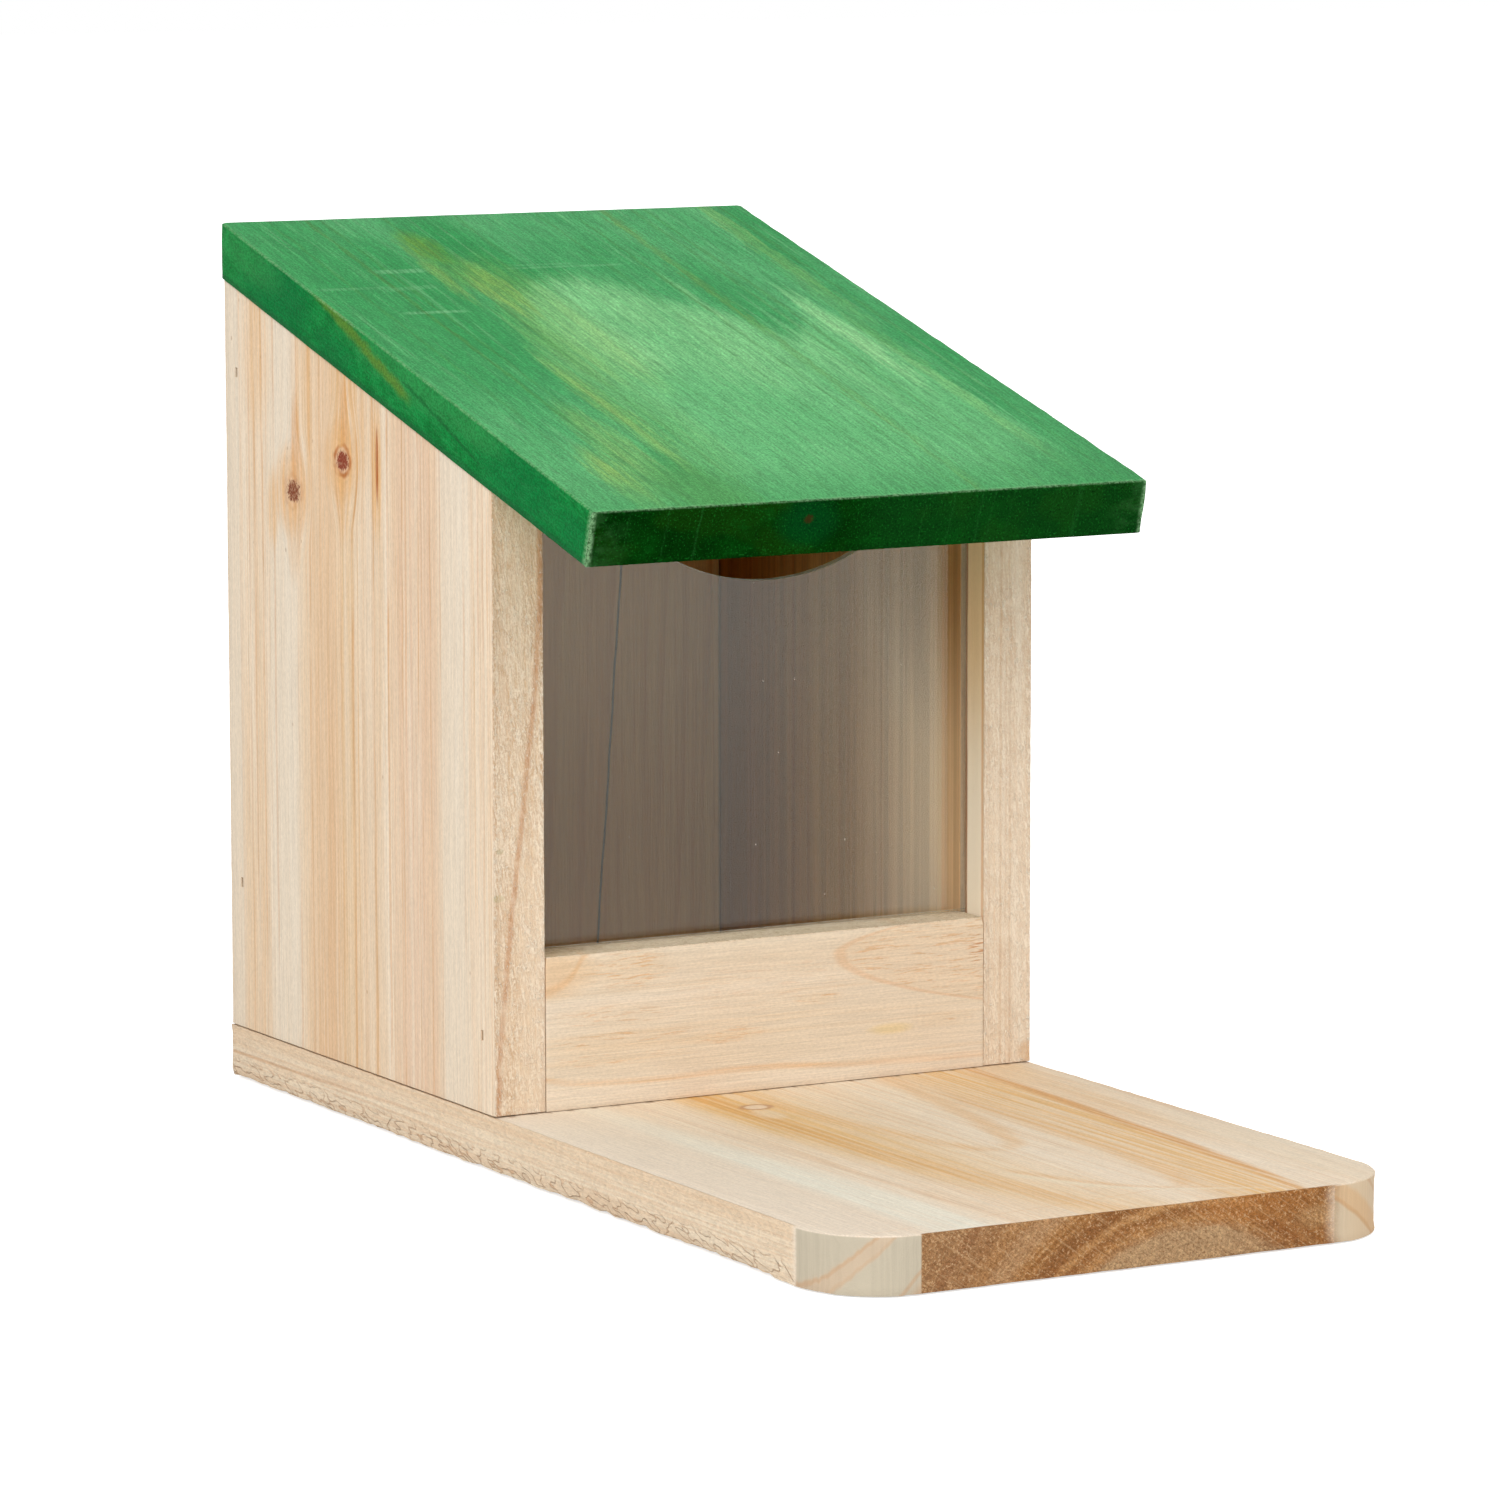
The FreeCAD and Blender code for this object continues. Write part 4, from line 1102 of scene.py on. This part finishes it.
class FEEDER_OT_rear(bpy.types.Operator):
    """Build the rear plank, with its two holes for fixing screws"""
    bl_idname = "feeder.rear"
    bl_label = "Rear plank"

    def execute(self, context):
        piece = plank("rear_plank", REAR_LOW, REAR_HIGH, (32, 4, 50), [sloping_top(REAR_LOW, REAR_HIGH)])
        soften(piece, sizes().arris)
        middle = (REAR_LOW.y + REAR_HIGH.y) / 2
        cut_away(piece, [start_rod("Hole", (0, middle, height), 2.5, 30, 48) for height in MOUNT_HEIGHTS])
        complete(piece, "box", "rear_board", rear_finish())
        return {"FINISHED"}


class FEEDER_OT_rail(bpy.types.Operator):
    """Build the low front rail, rough along its top"""
    bl_idname = "feeder.rail"
    bl_label = "Front rail"

    def execute(self, context):
        piece = plank("rail_plank", RAIL_LOW, RAIL_HIGH, (97, 9, 15))
        rough_up(piece, sizes().saw_marks, 1.4, "sawn top",
                 lambda place, normal: 1 if place.z > RAIL_HIGH.z - 0.5 else 0)
        soften(piece, sizes().arris * 0.4)
        complete(piece, "box", "front_rail", rail_finish())
        return {"FINISHED"}


class FEEDER_OT_base(bpy.types.Operator):
    """Build the base plank, round its front corners and chip its lower edges"""
    bl_idname = "feeder.base"
    bl_label = "Base plank"

    def execute(self, context):
        piece = start("base_plank", BASE_LOW, BASE_HIGH)
        edit(piece)
        choose(piece, "EDGE", self.front_corner)
        bpy.ops.mesh.bevel(offset=17 * MM, segments=16, affect="EDGES")
        for axis, step in ((0, 4), (2, 1.8), (1, 2.2)):
            cuts = int((BASE_HIGH[axis] - BASE_LOW[axis]) / step)
            for index in range(1, cuts):
                place = BASE_LOW.lerp(BASE_HIGH, index / cuts) * MM
                bpy.ops.mesh.select_all(action="SELECT")
                bpy.ops.mesh.bisect(plane_co=place, plane_no=[float(way == axis) for way in range(3)])
        leave()
        plane_down(piece)
        rough_up(piece, sizes().saw_marks, 1.6, "sawn flank",
                 lambda place, normal: 0.7 if abs(normal.x) > 0.6 or place.y < BASE_LOW.y + 0.6 else 0.05)
        chipped = group_where(piece, "chipped foot", lambda place, normal: (
            1 if place.z < 0.6 and abs(place.x) > 59 and place.y > -100 else 0))
        wear(piece, cloud("Chips", 3.4, contrast=1.9), sizes().chips * 0.45, chipped)
        soften(piece, sizes().arris)
        long, thin, deep = BRAD_POCKET
        sides = [(x, y, BASE_LOW.z) for x in (-54.2, 54.2) for y in (22, 66, 110)]
        across = [(x, y, BASE_LOW.z) for x in (-20, 20) for y in (12.5, 119.5)]
        cut_away(piece, nail_pockets(sides, (thin, long, 2 * deep)) + nail_pockets(across, (long, thin, 2 * deep)))
        complete(piece, "box", "base_board", base_finish())
        return {"FINISHED"}

    def front_corner(self, edge):
        """Whether an edge is one of the two upright ones at the front."""
        low, high = (vertex.co / MM for vertex in edge.verts)
        return max(abs(low.y - BASE_LOW.y), abs(high.y - BASE_LOW.y)) < 0.1 and abs(low.z - high.z) > 5


class FEEDER_OT_lid(bpy.types.Operator):
    """Build the sloping lid plank with frayed, stained edges"""
    bl_idname = "feeder.lid"
    bl_label = "Lid plank"

    def execute(self, context):
        foot = LID_HIGH.z - LID_THICK / cos(ROOF_SLOPE)
        nose = LID_HIGH.z - (LID_HIGH.y - LID_LOW.y) * FALL - LID_THICK * cos(ROOF_SLOPE)
        low = Vector((LID_LOW.x, LID_LOW.y, foot))
        piece = plank("lid_plank", low, LID_HIGH, (110, 56, 8), [
            sloping_top(low, LID_HIGH),
            (lambda place: place.y < low.y + 1 and abs(place.z - foot) < 1,
             (0, LID_THICK * sin(ROOF_SLOPE), nose - foot))])
        rough_up(piece, sizes().fray, 1.7, "frayed rim", self.near_rim)
        soften(piece, sizes().arris)
        complete(piece, "lid", "lid_board", lid_finish())
        return {"FINISHED"}

    def near_rim(self, place, normal):
        """How frayed a place is: most at the front, less along the sides and towards the underside."""
        behind = LID_HIGH.y - place.y
        upper = max(0, 1 - (LID_HIGH.z - behind * FALL - place.z) / 3)
        front = behind / (LID_HIGH.y - LID_LOW.y) > 0.985
        side = abs(place.x) > LID_HIGH.x - 0.6
        return (1 if front else 0.6 if side else 0) * (0.35 + 0.65 * upper)


class FEEDER_OT_pane(bpy.types.Operator):
    """Build the clear pane with its round notch"""
    bl_idname = "feeder.pane"
    bl_label = "Pane"

    def execute(self, context):
        piece = start("pane_sheet", PANE_LOW, PANE_HIGH)
        middle = (PANE_LOW.y + PANE_HIGH.y) / 2
        cut_away(piece, [start_rod("Notch", (4.2, middle, PANE_HIGH.z + 23.5), 45.5, 20, 128)])
        edit(piece)
        choose(piece, "EDGE", lambda edge: edge.calc_face_angle(0) > radians(30))
        bpy.ops.mesh.bevel(offset=sizes().pane_edge, segments=2, affect="EDGES")
        leave()
        complete(piece, "box", "window_pane", pane_finish(), pane_edge_finish(), smooth=1)
        edit(piece)
        choose(piece, "FACE", lambda face: abs(face.normal.y) < 0.98 and face.normal.z > -0.5)
        piece.active_material_index = 1
        bpy.ops.object.material_slot_assign()
        leave()
        return {"FINISHED"}


def copy_node(node, ending):
    """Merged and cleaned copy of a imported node's mesh."""
    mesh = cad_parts[node].data.copy()
    mesh.name = node + ending
    piece = bpy.data.objects.new(mesh.name, mesh)
    bpy.context.scene.collection.objects.link(piece)
    edit(piece)
    bpy.ops.mesh.select_all(action="SELECT")
    bpy.ops.mesh.remove_doubles(threshold=0.002 * MM)
    bpy.ops.mesh.customdata_custom_splitnormals_clear()
    bpy.ops.mesh.dissolve_limited(angle_limit=radians(0.5))
    leave()
    return piece


class FEEDER_OT_hinges(bpy.types.Operator):
    """Build both hinges: leaves with rolled knuckles, pins and their screws"""
    bl_idname = "feeder.hinges"
    bl_label = "Hinges"

    def execute(self, context):
        zinc = metal_finish("Zinc plate", colours().zinc, 3)
        for side in ("left", "right"):
            for part, body in (("body", "box"), ("lid", "lid")):
                leaf = "%s_hinge_%s_leaf" % (side, part)
                piece = copy_node(leaf, "_plate")
                soften(piece, 0.09 * MM)
                complete(piece, body, leaf, zinc)
                screws = "%s_hinge_%s_screws" % (side, part)
                piece = copy_node(screws, "_driven")
                self.cut_crosses(piece)
                complete(piece, body, screws, zinc)
            pin = side + "_hinge_pin"
            piece = copy_node(pin, "_rod")
            soften(piece, 0.06 * MM)
            complete(piece, "box", pin, zinc)
        return {"FINISHED"}

    def cut_crosses(self, piece):
        """Cut a cross recess into each of two screw heads."""
        low, high = (Vector(piece.bound_box[corner]) / MM for corner in (0, 6))
        for half in (Vector((1.05, 0.5, 0.22)), Vector((0.22, 0.5, 1.05))):
            centres = [Vector((x, high.y, (low.z + high.z) / 2)) for x in (low.x + 1.8, high.x - 1.8)]
            cut_away(piece, [start("Cross", centre - half, centre + half) for centre in centres])


class FEEDER_OT_brads(bpy.types.Operator):
    """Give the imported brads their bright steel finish"""
    bl_idname = "feeder.brads"
    bl_label = "Brads"

    def execute(self, context):
        steel = metal_finish("Brad steel", display(160, 138, 112), 9)
        for name in ("base_brads", "left_side_brads", "right_side_brads"):
            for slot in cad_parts[name].material_slots:
                slot.material = steel
        return {"FINISHED"}


# Stage

def lamp(name, place, size, power):
    """Large soft lamp that points at the middle of the box; millimetres and watts."""
    light = bpy.data.lights.new(name, "AREA")
    light.shape = "RECTANGLE"
    light.size = light.size_y = size * MM
    light.energy = power
    item = bpy.data.objects.new(name, light)
    bpy.context.scene.collection.objects.link(item)
    item.location = Vector(place) * MM
    item.rotation_euler = (Vector((0, 0, 60)) - Vector(place)).to_track_quat("-Z", "Y").to_euler()


def seen_share(tree):
    """1 for rays that come from the camera, a mirror or through the pane, else 0."""
    return highest(add_node(tree, "ShaderNodeLightPath", output=kind)
                   for kind in ("Is Camera Ray", "Is Glossy Ray", "Is Transmission Ray"))


def floor_finish():
    """Pale floor that looks white where light falls on it and keeps the object's shadow."""
    paint = Paint("Pale floor")
    tone = mix(noise(paint.place, (90, 90, 90)), (0.84, 0.84, 0.84), (0.86, 0.86, 0.86))
    matt = add_node(paint.tree, "ShaderNodeBsdfDiffuse", {"Color": tone})
    x, y, _ = split(paint.place)
    strength = seen_share(paint.tree) * ease(distance(x, y), 300, 900, 0.62, 1)
    glow = add_node(paint.tree, "ShaderNodeEmission", {"Color": WHITE, "Strength": strength})
    return paint.cover(add_node(paint.tree, "ShaderNodeAddShader", {0: matt, 1: glow}))


def white_world():
    """White background, half as strong where it only lights the object."""
    world = bpy.data.worlds.new("White studio")
    world.use_nodes = True
    tree = world.node_tree
    tree.nodes.clear()
    strength = seen_share(tree) * 0.5 + 0.5
    sky = add_node(tree, "ShaderNodeBackground", {"Color": WHITE, "Strength": strength})
    add_node(tree, "ShaderNodeOutputWorld", {"Surface": sky})
    return world


def photo_camera():
    """Camera at the photo's place, turned as its yaw, pitch and roll say."""
    lens = bpy.data.cameras.new("Camera")
    lens.lens = FOCAL_PIXELS / IMAGE_PIXELS * lens.sensor_width
    lens.clip_start, lens.clip_end = 0.05, 50
    camera = bpy.data.objects.new("Camera", lens)
    bpy.context.scene.collection.objects.link(camera)
    level = Vector((cos(CAMERA_YAW), -sin(CAMERA_YAW), 0))
    forward = Vector((sin(CAMERA_YAW) * cos(CAMERA_PITCH), cos(CAMERA_YAW) * cos(CAMERA_PITCH), -sin(CAMERA_PITCH)))
    right = level * cos(CAMERA_ROLL) + level.cross(forward) * sin(CAMERA_ROLL)
    turn = Matrix((right, right.cross(forward), -forward)).transposed().to_4x4()
    camera.matrix_world = Matrix.Translation(CAMERA_PLACE * MM) @ turn
    return camera


class FEEDER_OT_stage(bpy.types.Operator):
    """Set up the pale floor, soft studio light, white background and the camera"""
    bl_idname = "feeder.stage"
    bl_label = "Stage"

    def execute(self, context):
        bpy.ops.object.select_all(action="DESELECT")
        bpy.ops.mesh.primitive_plane_add(size=12, location=(0, 0, -0.0002))
        floor = context.object
        floor.name = "pale_floor"
        floor.data.materials.append(floor_finish())
        lamp("Key", (-1100, -800, 1000), 1500, 18.5)
        lamp("Fill", (300, -1000, 1100), 1200, 7.5)
        context.scene.world = white_world()
        context.scene.camera = photo_camera()
        context.scene.view_settings.view_transform = "Standard"
        return {"FINISHED"}


class FEEDER_PT_pieces(bpy.types.Panel):
    """Builds each piece of the feeder"""
    bl_idname = "FEEDER_PT_pieces"
    bl_label = "Squirrel feeder box"
    bl_space_type = "VIEW_3D"
    bl_region_type = "UI"
    bl_category = "Feeder"

    def draw(self, context):
        for settings, kind in ((sizes(), FeederSizes), (colours(), FeederColours)):
            for name in kind.__annotations__:
                self.layout.prop(settings, name)
        for operator in BUILDERS:
            self.layout.operator(operator.bl_idname)


BUILDERS = (FEEDER_OT_base, FEEDER_OT_sides, FEEDER_OT_rear, FEEDER_OT_rail, FEEDER_OT_pane, FEEDER_OT_lid,
            FEEDER_OT_hinges, FEEDER_OT_brads, FEEDER_OT_stage)
CLASSES = (FeederSizes, FeederColours, *BUILDERS, FEEDER_PT_pieces)


def register():
    for kind in CLASSES:
        bpy.utils.register_class(kind)
    bpy.types.Scene.feeder_sizes = bpy.props.PointerProperty(type=FeederSizes)
    bpy.types.Scene.feeder_colours = bpy.props.PointerProperty(type=FeederColours)


def unregister():
    del bpy.types.Scene.feeder_colours
    del bpy.types.Scene.feeder_sizes
    for kind in reversed(CLASSES):
        bpy.utils.unregister_class(kind)


def main():
    """Build every piece and set the stage."""
    register()
    for operator in BUILDERS:
        group, name = operator.bl_idname.split(".")
        if getattr(getattr(bpy.ops, group), name)() != {"FINISHED"}:
            raise RuntimeError(operator.bl_label + " could not be built")


if __name__ == "__main__":
    main()
